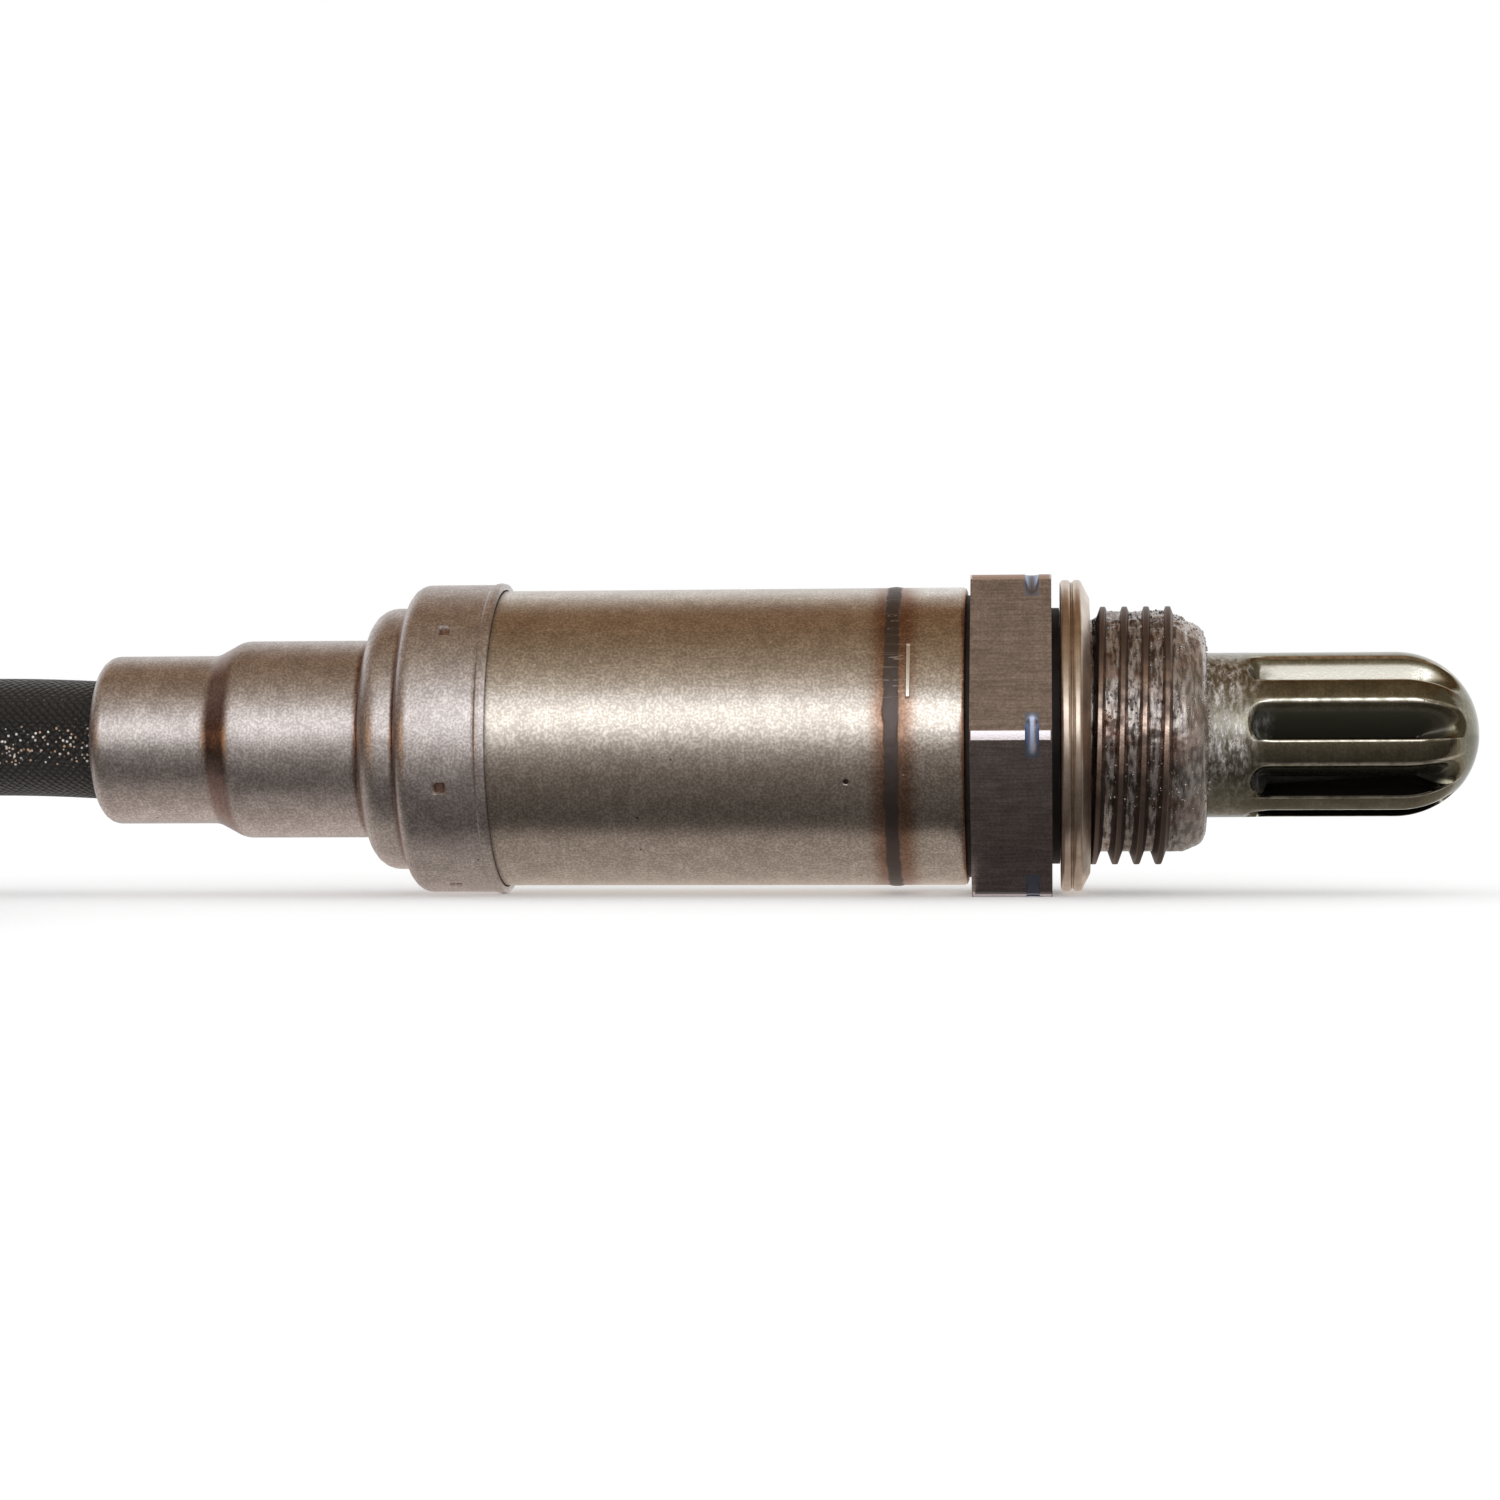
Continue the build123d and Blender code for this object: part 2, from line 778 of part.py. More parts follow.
# Ceramic holder: carries the contacts and presses the thimble onto its seat, with a head at the
# rear that the disc spring pushes on
holder_radius = holder_diameter / 2
head_radius = holder_head_diameter / 2
head_front = holder_rear + holder_head_length

with BuildPart() as ceramic_holder:
    turn_outline(
        [
            (holder_rear, 0),
            (holder_rear, head_radius - holder_edge),
            (holder_rear + holder_edge, head_radius),
            (head_front - holder_edge, head_radius),
            (head_front, head_radius - holder_edge),
            (head_front, holder_radius),
            (holder_front - holder_edge, holder_radius),
            (holder_front, holder_radius - holder_edge),
            (holder_front, 0),
        ]
    )
    turn_outline(
        [
            (holder_rear - overrun, 0),
            (holder_rear - overrun, holder_chamber_diameter / 2),
            (chamber_front, holder_chamber_diameter / 2),
            (chamber_front, heater_radius + slip * 2),
            (holder_front + overrun, heater_radius + slip * 2),
            (holder_front + overrun, 0),
        ],
        mode=Mode.SUBTRACT,
    )
    with BuildSketch(cross_plane(holder_rear - overrun)):
        with PolarLocations(bore_circle_radius, 4):
            Circle(holder_bore_diameter / 2)
    extrude(amount=holder_front - holder_rear + overrun * 2, mode=Mode.SUBTRACT)
save(ceramic_holder.part, "ceramic_holder")

# Disc spring: a coned washer between the holder's head and the sleeve's shoulder
spring_rear = spring_front - spring_height
spring_edge_radius = head_radius - holder_edge

with BuildPart() as disc_spring:
    turn_outline(
        [
            (spring_front, spring_edge_radius),
            (spring_front - spring_thickness, spring_edge_radius),
            (spring_rear, spring_bore / 2),
            (spring_rear + spring_thickness, spring_bore / 2),
        ]
    )
save(disc_spring.part, "disc_spring")

# Grommet: a moulded rubber plug in the cap's neck and tail, ribbed to seal against the neck, with
# a hole for each lead
cap_neck_bore = cap_neck_radius - cap_wall
cap_tail_bore = cap_tail_radius - cap_wall
grommet_front = cap_neck_front - grommet_front_inset
grommet_rear = cap_rear + cable_seat_depth
grommet_neck_radius = cap_neck_bore - slip - grommet_rib_rise
grommet_tail_radius = cap_tail_bore - slip
hole_circle_radius = grommet_hole_circle / 2
rib_pitch = (grommet_front - cap_neck_rear - cap_cone_round) / grommet_rib_count

with BuildPart() as grommet:
    turn_outline(
        [
            (grommet_rear, 0),
            (grommet_rear, grommet_tail_radius),
            (cap_tail_end, grommet_tail_radius),
            (cap_neck_rear, grommet_neck_radius),
            (grommet_front, grommet_neck_radius),
            (grommet_front, 0),
        ]
    )
    for rib in range(grommet_rib_count):
        rib_rear = cap_neck_rear + cap_cone_round + rib_pitch * rib
        turn_outline(
            [
                (rib_rear, grommet_neck_radius - grommet_rib_rise),
                (rib_rear, grommet_neck_radius),
                (rib_rear + grommet_rib_width / 2, grommet_neck_radius + grommet_rib_rise),
                (rib_rear + grommet_rib_width, grommet_neck_radius),
                (rib_rear + grommet_rib_width, grommet_neck_radius - grommet_rib_rise),
            ]
        )
    with BuildSketch(cross_plane(grommet_rear - overrun)):
        with PolarLocations(hole_circle_radius, 4):
            Circle(lead_radius + slip / 2)
    extrude(amount=grommet_front - grommet_rear + overrun * 2, mode=Mode.SUBTRACT)
save(grommet.part, "grommet")

# Leads inside the sensor, from the crimp barrels to the braided cable behind the grommet
lead_front = barrel_rear + lead_in_barrel
lead_bend_front = holder_rear - lead_diameter
lead_bend_rear = grommet_front + lead_diameter
lead_route = [
    (lead_front, bore_circle_radius),
    (lead_bend_front, bore_circle_radius),
    (lead_bend_rear, hole_circle_radius),
    (grommet_rear, hole_circle_radius),
]

with BuildPart() as lead:
    with BuildLine(profile_plane) as lead_path:
        FilletPolyline(*lead_route, radius=arc_radii([(x, r, 0) for x, r in lead_route]))
    with BuildSketch(Plane(origin=lead_path.line @ 0, z_dir=lead_path.line % 0)):
        Circle(lead_radius)
    sweep()
save(lead.part, "signal_lead")
ground_lead = lead.part.rotate(sensor_axis, 180)
save(ground_lead, "ground_lead")
heater_leads = Compound(
    children=[lead.part.rotate(sensor_axis, 90), lead.part.rotate(sensor_axis, -90)]
)
save(heater_leads, "heater_leads")

# Braided cable: out of the cap, down to the surface and once round in a flat loop beside the
# sensor, ending under a shrink band
coil_centre = (-95.0, -47.0)
lead_out = [
    (grommet_rear, 0, axis_height),
    (-62.0, 0, 11.0),
    (-78.0, 0, 7.1),
]
coil_first_angle = 90 + 180 / coil_points_per_turn
coil_step = 360 / coil_points_per_turn
coil_reduction = cable_diameter + coil_gap


def coil_point(angle, height, corner=True):
    """A point of the loop, on its curve or at the corner outside it."""
    radius = coil_radius - coil_reduction * (angle - 90) / 360
    if corner:
        radius = radius / cos(radians(coil_step / 2))
    return (
        coil_centre[0] + radius * cos(radians(angle)),
        coil_centre[1] + radius * sin(radians(angle)),
        height,
    )


coil_heights = [4.5] + [cable_rest_height] * (coil_points_per_turn - 3) + [4.7, cable_tie_height]
coil = [
    coil_point(coil_first_angle + coil_step * vertex, height)
    for vertex, height in enumerate(coil_heights)
]
cable_end = coil_point(coil_first_angle + 360, cable_tie_height, corner=False)
cable_route = [*lead_out, *coil, cable_end]
cable_radii = arc_radii(cable_route)
print("cable arc radii", [round(radius, 1) for radius in cable_radii])

with BuildPart() as cable:
    with BuildLine() as cable_path:
        FilletPolyline(*cable_route, radius=cable_radii)
    with BuildSketch(Plane(origin=cable_path.line @ 0, z_dir=cable_path.line % 0)):
        Circle(cable_radius)
    sweep()
save(cable.part, "cable")
cable_length = sum(edge.length for edge in cable_path.edges())
cable_section = pi * cable_radius**2
print("cable length", round(cable_length, 1))
print("cable volume", round(cable.part.volume), "of", round(cable_section * cable_length))

# Cable tie: a strap round the two strands where the loop closes, with its head on top
last_corner = coil[-1]
run_share = (last_corner[0] - coil_centre[0]) / (last_corner[0] - cable_end[0])
inner_strand_y = last_corner[1] + run_share * (cable_end[1] - last_corner[1])
outer_strand_y = coil_centre[1] + coil_radius
strand_distance = outer_strand_y - inner_strand_y
tie_plane = Plane(
    origin=(coil_centre[0], (outer_strand_y + inner_strand_y) / 2, cable_tie_height),
    x_dir=(0, 1, 0),
    z_dir=(1, 0, 0),
)
tie_bore = cable_diameter + tie_clearance * 2
tie_height = tie_bore + tie_thickness * 2

with BuildPart() as cable_tie:
    with BuildSketch(tie_plane):
        SlotCenterToCenter(strand_distance, tie_height)
        SlotCenterToCenter(strand_distance, tie_bore, mode=Mode.SUBTRACT)
    extrude(amount=tie_width / 2, both=True)
    with BuildSketch(tie_plane):
        with Locations((0, tie_bore / 2 + tie_thickness / 2)):
            Rectangle(
                tie_head_length, tie_head_height, align=(Align.CENTER, Align.MIN)
            )
            Rectangle(
                tie_tail_length, tie_thickness, align=(Align.MIN, Align.MIN)
            )
    extrude(amount=tie_width / 2, both=True)
    head_edges = cable_tie.edges().filter_by(Axis.X).group_by(Axis.Z)[-1]
    fillet(head_edges, radius=tie_thickness / 2)
save(cable_tie.part, "cable_tie")

# Shrink band: closes the braid's end and lets the four leads out
tail_heading = 180 + degrees(
    atan2(last_corner[1] - cable_end[1], last_corner[0] - cable_end[0])
)
tail_direction = (cos(radians(tail_heading)), sin(radians(tail_heading)), 0)
end_plane = Plane(
    origin=cable_end,
    x_dir=(-tail_direction[1], tail_direction[0], 0),
    z_dir=tail_direction,
)
band_bore_radius = cable_radius + band_clearance

with BuildPart() as shrink_band:
    with BuildSketch(end_plane.offset(-band_grip)):
        Circle(band_bore_radius + band_wall)
    extrude(amount=band_grip + band_lip)
    fillet(shrink_band.edges().filter_by(GeomType.CIRCLE), radius=band_wall / 2)
    with BuildSketch(end_plane.offset(-band_grip)):
        Circle(band_bore_radius)
    extrude(amount=band_grip + slip, mode=Mode.SUBTRACT)
    with BuildSketch(end_plane):
        with GridLocations(tail_lead_offset * 2, tail_lead_offset * 2, 2, 2):
            Circle(lead_radius + slip)
    extrude(amount=band_lip + overrun, mode=Mode.SUBTRACT)
save(shrink_band.part, "shrink_band")

# Tail leads: from the cable's end round a bend into the connector's seal
connector_heading = tail_heading + tail_lead_turn
connector_direction = (
    cos(radians(connector_heading)),
    sin(radians(connector_heading)),
    0,
)
sideways = Vector(-tail_direction[1], tail_direction[0], 0)
upward = Vector(0, 0, 1)
bend_middle = (
    Vector(*cable_end)
    + Vector(*tail_direction) * tail_lead_straight
    + sideways * tail_lead_bend
)
connector_left = Vector(-connector_direction[1], connector_direction[0], 0)
connector_rear = (
    bend_middle
    - connector_left * tail_lead_bend
    + Vector(*connector_direction) * tail_lead_run_in
)
terminal_rear_depth = connector_length - terminal_from_front - terminal_length


def tail_lead(across, up):
    """One lead of the four, by its place across and above the middle of the bundle."""
    start = Vector(*cable_end) + sideways * across + upward * up
    with BuildPart() as strand:
        with BuildLine() as path:
            out = Line(start, start + Vector(*tail_direction) * tail_lead_straight)
            JernArc(
                out @ 1,
                out % 1,
                radius=tail_lead_bend - across,
                arc_size=tail_lead_turn,
            )
            run_in = tail_lead_run_in + terminal_rear_depth
            inside = connector_rear + connector_left * across + upward * up
            Line(
                inside - Vector(*connector_direction) * tail_lead_run_in,
                inside + Vector(*connector_direction) * (run_in - tail_lead_run_in),
            )
        with BuildSketch(Plane(origin=path.line @ 0, z_dir=path.line % 0)):
            Circle(lead_radius)
        sweep()
    return strand.part


tail_heater_leads = Compound(
    children=[
        tail_lead(tail_lead_offset, tail_lead_offset),
        tail_lead(tail_lead_offset, -tail_lead_offset),
    ]
)
save(tail_heater_leads, "tail_heater_leads")
tail_signal_lead = tail_lead(-tail_lead_offset, tail_lead_offset)
save(tail_signal_lead, "tail_signal_lead")
tail_ground_lead = tail_lead(-tail_lead_offset, -tail_lead_offset)
save(tail_ground_lead, "tail_ground_lead")

# Connector: a moulded housing with four cavities, closed behind by a rubber seal, with a lock
# that keeps the four terminals in
connector_height = cable_tie_height * 2
rear_plane = Plane(
    origin=connector_rear, x_dir=connector_left, z_dir=connector_direction
)
seal_width = connector_width - connector_seal_wall * 2
seal_height = connector_height - connector_seal_wall * 2
nose_width = connector_width - connector_nose_step * 2
nose_height = connector_height - connector_nose_step * 2
lock_station = connector_length - lock_from_front
terminal_grid = tail_lead_offset * 2

with BuildPart() as connector_housing:
    with BuildSketch(rear_plane):
        RectangleRounded(connector_width, connector_height, connector_round)
    extrude(amount=connector_length - connector_nose_length)
    with BuildSketch(rear_plane):
        RectangleRounded(nose_width, nose_height, connector_round)
    extrude(amount=connector_length)
    latch_rear = connector_length - connector_nose_length - connector_latch_length
    with BuildSketch(rear_plane.offset(latch_rear)):
        with Locations((0, connector_height / 2)):
            Rectangle(
                connector_latch_width,
                connector_latch_rise * 2,
            )
    extrude(amount=connector_latch_length)
    with BuildSketch(rear_plane):
        with GridLocations(connector_width, connector_height / 2, 2, 2):
            Rectangle(connector_rib_rise * 2, connector_rib_width)
    extrude(amount=connector_rib_length)
    with BuildSketch(rear_plane):
        RectangleRounded(seal_width, seal_height, connector_round)
    extrude(amount=connector_seal_depth, mode=Mode.SUBTRACT)
    with BuildSketch(rear_plane):
        with GridLocations(terminal_grid, terminal_grid, 2, 2):
            Rectangle(connector_cavity, connector_cavity)
    extrude(amount=connector_length + overrun, mode=Mode.SUBTRACT)
    with BuildSketch(rear_plane.offset(lock_station)):
        with Locations((0, connector_height / 2)):
            Rectangle(nose_width - connector_round * 2, lock_depth * 2)
    extrude(amount=lock_thickness, mode=Mode.SUBTRACT)
save(connector_housing.part, "connector_housing")

with BuildPart() as wire_seal:
    with BuildSketch(rear_plane.offset(slip)):
        RectangleRounded(seal_width - slip * 2, seal_height - slip * 2, connector_round)
        with GridLocations(terminal_grid, terminal_grid, 2, 2):
            Circle(lead_radius + slip, mode=Mode.SUBTRACT)
    extrude(amount=connector_seal_depth - slip * 2)
save(wire_seal.part, "wire_seal")

# Terminal lock: a flat key pushed in from above, notched to pass the upper terminals
with BuildPart() as terminal_lock:
    with BuildSketch(rear_plane.offset(lock_station + slip)):
        with Locations((0, connector_height / 2 - lock_depth + slip)):
            Rectangle(
                nose_width - connector_round * 2 - slip * 2,
                lock_depth + lock_head,
                align=(Align.CENTER, Align.MIN),
            )
        with GridLocations(terminal_grid, terminal_grid, 2, 2):
            Rectangle(
                connector_cavity + slip * 2,
                connector_cavity + slip * 2,
                mode=Mode.SUBTRACT,
            )
    extrude(amount=lock_thickness - slip * 2)
save(terminal_lock.part, "terminal_lock")

terminal_plane = rear_plane.offset(terminal_rear_depth + slip)
with BuildPart() as connector_terminals:
    with BuildSketch(terminal_plane):
        with GridLocations(terminal_grid, terminal_grid, 2, 2):
            Rectangle(terminal_size, terminal_size)
            Rectangle(
                terminal_size - terminal_wall * 2,
                terminal_size - terminal_wall * 2,
                mode=Mode.SUBTRACT,
            )
    extrude(amount=terminal_length - slip)
save(connector_terminals.part, "connector_terminals")
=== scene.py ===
from math import acos, cos, hypot, pi, radians, sin, sqrt, tan

import bmesh
import bpy
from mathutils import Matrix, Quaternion, Vector
from mathutils.noise import noise as solid_noise


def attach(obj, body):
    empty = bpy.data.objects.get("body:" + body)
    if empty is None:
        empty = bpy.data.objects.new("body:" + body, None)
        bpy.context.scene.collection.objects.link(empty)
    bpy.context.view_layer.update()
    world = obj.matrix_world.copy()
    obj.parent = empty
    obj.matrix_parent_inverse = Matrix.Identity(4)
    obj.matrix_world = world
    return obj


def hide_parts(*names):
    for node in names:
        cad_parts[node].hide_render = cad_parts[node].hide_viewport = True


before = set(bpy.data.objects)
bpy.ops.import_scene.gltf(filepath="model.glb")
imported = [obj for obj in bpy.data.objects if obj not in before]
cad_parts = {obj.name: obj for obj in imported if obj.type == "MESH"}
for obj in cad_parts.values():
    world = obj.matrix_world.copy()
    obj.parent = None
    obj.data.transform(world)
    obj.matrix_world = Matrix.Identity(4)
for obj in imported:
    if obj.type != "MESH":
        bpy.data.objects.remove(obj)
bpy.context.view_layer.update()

scene = bpy.context.scene
scene.view_settings.view_transform = "Standard"

# View. The camera stands level with the sensor, 240 mm away and a little towards the tip,
# turned by a quarter of a degree, as the photograph is.
camera_place = Vector((0.0191, -0.2391, 0.0101))
camera_target = Vector((-0.00183, 0.0, 0.0101))
camera_lens = bpy.data.cameras.new("camera")
camera_lens.sensor_width = 36.0
camera_lens.lens = 81.7
camera_lens.clip_start = 0.01
camera = bpy.data.objects.new("camera", camera_lens)
camera.location = camera_place
camera.rotation_euler = (
    (camera_target - camera_place).to_track_quat("-Z", "Y") @ Quaternion((0, 0, 1), radians(-0.25))
).to_euler()
scene.collection.objects.link(camera)
scene.camera = camera

# Cable. A black textile sleeve braided over four thin wires, limp, 8.4 mm thick. It leaves the
# rear cap, drops to the surface and lies in one flat turn just outside the view.
cable_diameter = 0.0084
cable_sides = 56
coil_centre = (-0.095, -0.047)
coil_radius = 0.0471
coil_narrowing = 0.0093
coil_start, coil_step = 90, 30
coil_heights = [0.0045] + [0.00425] * 9 + [0.0047, 0.0056]

cable_route = [(-0.044, 0.0, 0.0107), (-0.062, 0.0, 0.0122), (-0.078, 0.0, 0.0071)]
for step, height in enumerate(coil_heights + coil_heights[-1:]):
    angle = coil_start + coil_step * (step + 0.5)
    corner = 1.0 if step == len(coil_heights) else cos(radians(coil_step / 2))
    reach = (coil_radius - coil_narrowing * (angle - coil_start) / 360) / corner
    x, y = coil_centre
    cable_route.append((x + reach * cos(radians(angle)), y + reach * sin(radians(angle)), height))

route_curve = bpy.data.curves.new("cable_route", "CURVE")
route_curve.dimensions = "3D"
route_curve.resolution_u = 20
route_spline = route_curve.splines.new("NURBS")
route_spline.points.add(len(cable_route) - 1)
for control, place in zip(route_spline.points, cable_route):
    control.co = (*place, 1.0)
route_spline.order_u = 3
route_spline.use_endpoint_u = True
route_object = bpy.data.objects.new("cable_route", route_curve)
scene.collection.objects.link(route_object)
route_mesh = bpy.data.meshes.new_from_object(route_object)
cable_line = [vertex.co.copy() for vertex in route_mesh.vertices]
bpy.data.objects.remove(route_object)


def new_piece(name, vertices=(), faces=()):
    """An object with a mesh of its own."""
    piece = bpy.data.objects.new(name, bpy.data.meshes.new(name))
    piece.data.from_pydata(vertices, [], faces)
    scene.collection.objects.link(piece)
    return piece


def grid_faces(rows, columns, round_rows=False, round_columns=False, skip=None):
    """The faces between rows of vertices, which may close into rings, without a skipped column."""
    return [
        (
            row * columns + column,
            row * columns + (column + 1) % columns,
            (row + 1) % rows * columns + (column + 1) % columns,
            (row + 1) % rows * columns + column,
        )
        for row in range(rows if round_rows else rows - 1)
        for column in range(columns if round_columns else columns - 1)
        if column != skip
    ]


def tube_along(name, line, radius, sides):
    """A closed tube about a line of points. Its UV map holds metres along it and turns around."""
    vertices, distances = [], [0.0]
    across = Vector((0, 0, 1))
    for index, centre in enumerate(line):
        before, after = line[max(index - 1, 0)], line[min(index + 1, len(line) - 1)]
        tangent = (after - before).normalized()
        across = (across - tangent * across.dot(tangent)).normalized()
        beside = tangent.cross(across)
        if index:
            distances.append(distances[-1] + (centre - line[index - 1]).length)
        for side in range(sides):
            turn = 2 * pi * side / sides
            vertices.append(centre + across * radius * cos(turn) + beside * radius * sin(turn))
    faces = grid_faces(len(line), sides, round_columns=True)
    wraps = [
        [(distances[ring + on], (side + by) / sides) for on, by in ((0, 0), (0, 1), (1, 1), (1, 0))]
        for ring in range(len(line) - 1)
        for side in range(sides)
    ]
    for ring, order in ((0, -1), (len(line) - 1, 1)):
        faces.append(tuple(ring * sides + side for side in range(sides))[::order])
        wraps.append([(distances[ring], side / sides) for side in range(sides)][::order])
    piece = new_piece(name, vertices, faces)
    layer = piece.data.uv_layers.new(name="wrap")
    for polygon, places in zip(piece.data.polygons, wraps):
        polygon.use_smooth = len(places) == 4
        for loop, place in zip(polygon.loop_indices, places):
            layer.data[loop].uv = place
    return piece


class Value:
    """A node's output. Arithmetic on it adds Math nodes to its tree."""

    def __init__(self, tree, socket):
        self.tree, self.socket = tree, socket

    def math(self, operation, *others):
        values = dict(enumerate((self, *others)))
        return field(self.tree, "ShaderNodeMath", values, operation=operation)

    def __add__(self, other):
        return self.math("ADD", other)

    def __sub__(self, other):
        return self.math("SUBTRACT", other)

    def __rsub__(self, other):
        return field(self.tree, "ShaderNodeMath", {0: other, 1: self}, operation="SUBTRACT")

    def __mul__(self, other):
        return self.math("MULTIPLY", other)

    def __pow__(self, other):
        return self.math("POWER", other)


def feed(node, inputs):
    """Sets a node's inputs to values, or links them to other nodes' outputs."""
    for name, value in inputs.items():
        value = getattr(value, "socket", value)
        if isinstance(value, bpy.types.NodeSocket):
            node.id_data.links.new(value, node.inputs[name])
        else:
            node.inputs[name].default_value = value


def add_node(tree, kind, inputs=None, **settings):
    """A node with its settings and its inputs."""
    node = tree.nodes.new(kind)
    for name, value in settings.items():
        setattr(node, name, value)
    feed(node, inputs or {})
    return node


def field(tree, kind, inputs=None, output=0, **settings):
    """One output of a new node."""
    return Value(tree, add_node(tree, kind, inputs, **settings).outputs[output])


def combine(tree, *values):
    """A place or a turn from up to three values."""
    return field(tree, "ShaderNodeCombineXYZ", dict(enumerate(values)))


def apart(place):
    """The three coordinates of a place."""
    node = add_node(place.tree, "ShaderNodeSeparateXYZ", {0: place})
    return [Value(place.tree, socket) for socket in node.outputs]


def blend_colours(factor, first, second, mode="MIX"):
    """The output of a Mix node on two colours."""
    inputs = {0: factor, 6: first, 7: second}
    return field(factor.tree, "ShaderNodeMix", inputs, 2, data_type="RGBA", blend_type=mode)


def rescale(value, low, high, to_low=0.0, to_high=1.0):
    """The output of a Map Range node with soft ends."""
    inputs = {0: value, 1: low, 2: high, 3: to_low, 4: to_high}
    return field(value.tree, "ShaderNodeMapRange", inputs, interpolation_type="SMOOTHSTEP")


def near(value, centre, half, soft):
    """One within a distance of a value, falling to nothing over a softer one."""
    return rescale((value - centre).math("ABSOLUTE"), half + soft, half)


def noise_at(place, scale=1.0, detail=2.0, **more):
    """Cloudy noise from nothing to one."""
    inputs = {"Vector": place, "Scale": scale, "Detail": detail, **more}
    return field(place.tree, "ShaderNodeTexNoise", inputs)


def cells_at(place, scale):
    """The distance from the nearest of some scattered points, and that point's three chances."""
    cells = add_node(place.tree, "ShaderNodeTexVoronoi", {"Vector": place, "Scale": scale})
    chances = add_node(place.tree, "ShaderNodeSeparateColor", {0: cells.outputs["Color"]})
    sockets = (cells.outputs["Distance"], *chances.outputs)
    return [Value(place.tree, socket) for socket in sockets]


def tone(red, green, blue):
    """A display colour, 0 to 255, as the linear colour that renders so in plain light."""
    shares = [channel / 255 for channel in (red, green, blue)]
    linear = [s / 12.92 if s <= 0.04045 else ((s + 0.055) / 1.055) ** 2.4 for s in shares]
    return (*linear, 1.0)


def new_group(name, inputs, outputs=()):
    """A shader group, or without outputs a tree that takes and gives geometry. An input has a
    number or says its kind. With it come its inputs by their names, and its last node."""
    group = bpy.data.node_groups.new(name, "ShaderNodeTree" if outputs else "GeometryNodeTree")

    def add_socket(socket, side, kind="Float"):
        return group.interface.new_socket(socket, in_out=side, socket_type=f"NodeSocket{kind}")

    if not outputs:
        add_socket("Geometry", "INPUT", "Geometry")
        add_socket("Geometry", "OUTPUT", "Geometry")
    for socket, value in inputs.items():
        if isinstance(value, str):
            add_socket(socket, "INPUT", value)
        else:
            kind = "Int" if isinstance(value, int) else "Float"
            add_socket(socket, "INPUT", kind).default_value = value
    for socket in outputs:
        add_socket(socket, "OUTPUT")
    first, last = group.nodes.new("NodeGroupInput"), group.nodes.new("NodeGroupOutput")
    return group, {socket.name: Value(group, socket) for socket in first.outputs}, last


def use_group(tree, group, inputs):
    """The outputs of a shader group by their names."""
    node = add_node(tree, "ShaderNodeGroup", inputs, node_tree=group)
    return {socket.name: Value(tree, socket) for socket in node.outputs}


def new_material(name):
    """A material with one Principled shader, that shader, and the place on the object."""
    material = bpy.data.materials.new(name)
    material.use_nodes = True
    tree = material.node_tree
    tree.nodes.clear()
    shader = add_node(tree, "ShaderNodeBsdfPrincipled")
    add_node(tree, "ShaderNodeOutputMaterial", {0: shader.outputs[0]})
    return material, shader, field(tree, "ShaderNodeTexCoord", output="Object")


def raise_surface(shader, height, strength=1.0, distance=1.0):
    """Gives a shader a bump, or another height to the bump that it has."""
    if not shader.inputs["Normal"].is_linked:
        feed(shader, {"Normal": add_node(shader.id_data, "ShaderNodeBump").outputs[0]})
    bump = shader.inputs["Normal"].links[0].from_node
    feed(bump, {"Strength": strength, "Distance": distance, "Height": height})


def dress(piece, material):
    """Gives a new piece its material and its slot, and lets it ride with the sensor."""
    if material.name not in piece.data.materials:
        piece.data.materials.append(material)
    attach(piece, "root")


# The braid: two families of strands that cross over and under each other
braid, given, made = new_group(
    "braid",
    {"Along": 0.0, "Around": 0.0, "Strands": 32.0, "Lay": 0.0009},
    ["Height", "Fibres", "Flecks"],
)
turns = given["Around"] * given["Strands"]
steps = given["Along"].math("DIVIDE", given["Lay"])
leaning, falling = turns + steps, turns - steps
over = (leaning.math("FLOOR") + falling.math("FLOOR")).math("FLOORED_MODULO", 2.0)
crowns, fibres = [], []
for strand, crossing in ((leaning, falling), (falling, leaning)):
    swell = (strand.math("FRACT") * pi).math("SINE")
    arch = (crossing.math("FRACT") * pi).math("SINE")
    crowns.append(swell**0.6 * arch)
    fibres.append(noise_at(combine(braid, strand * 9.0, crossing * 0.8), detail=3.0))
fleck_distance, fleck_chance, *_ = cells_at(combine(braid, leaning, falling), 2.1)
feed(
    made,
    {
        "Height": crowns[0] * over + crowns[1] * (1.0 - over),
        "Fibres": field(braid, "ShaderNodeMix", {0: over, 2: fibres[1], 3: fibres[0]}),
        "Flecks": rescale(fleck_distance, 0.42, 0.16) * rescale(fleck_chance, 0.93, 0.97),
    },
)

# Painted glints: bright specks in the colour where light catches single filaments, in a band
# along the side facing the camera
braid_cloth, shader, place = new_material("braid_cloth")
wrap_along, wrap_around, _ = apart(field(place.tree, "ShaderNodeUVMap", uv_map="wrap"))
weave = use_group(
    place.tree, braid, {"Along": wrap_along, "Around": wrap_around, "Strands": 44.0, "Lay": 0.0006}
)
strand_colour = blend_colours(
    rescale(weave["Fibres"], 0.3, 0.75), tone(12, 12, 13), tone(46, 43, 43)
)
# The low gaps between the strands are painted near black: painted shade.
shaded_colour = blend_colours(rescale(weave["Height"], 0.0, 0.6), tone(8, 8, 8), strand_colour)
along, across, up = apart(place)
glint_distance, glint_chance, warmth, _ = cells_at(place, 3600.0)
lit_band = near(up, 0.0106, 0.0005, 0.0018) * (
    rescale(across, -0.002, -0.003) * rescale(along, -0.075, -0.066)
)
painted_glints = rescale(glint_distance, 0.4, 0.24) * rescale(glint_chance * lit_band, 0.36, 0.5)
painted_glint_colour = blend_colours(warmth, tone(214, 168, 132), tone(250, 246, 240))
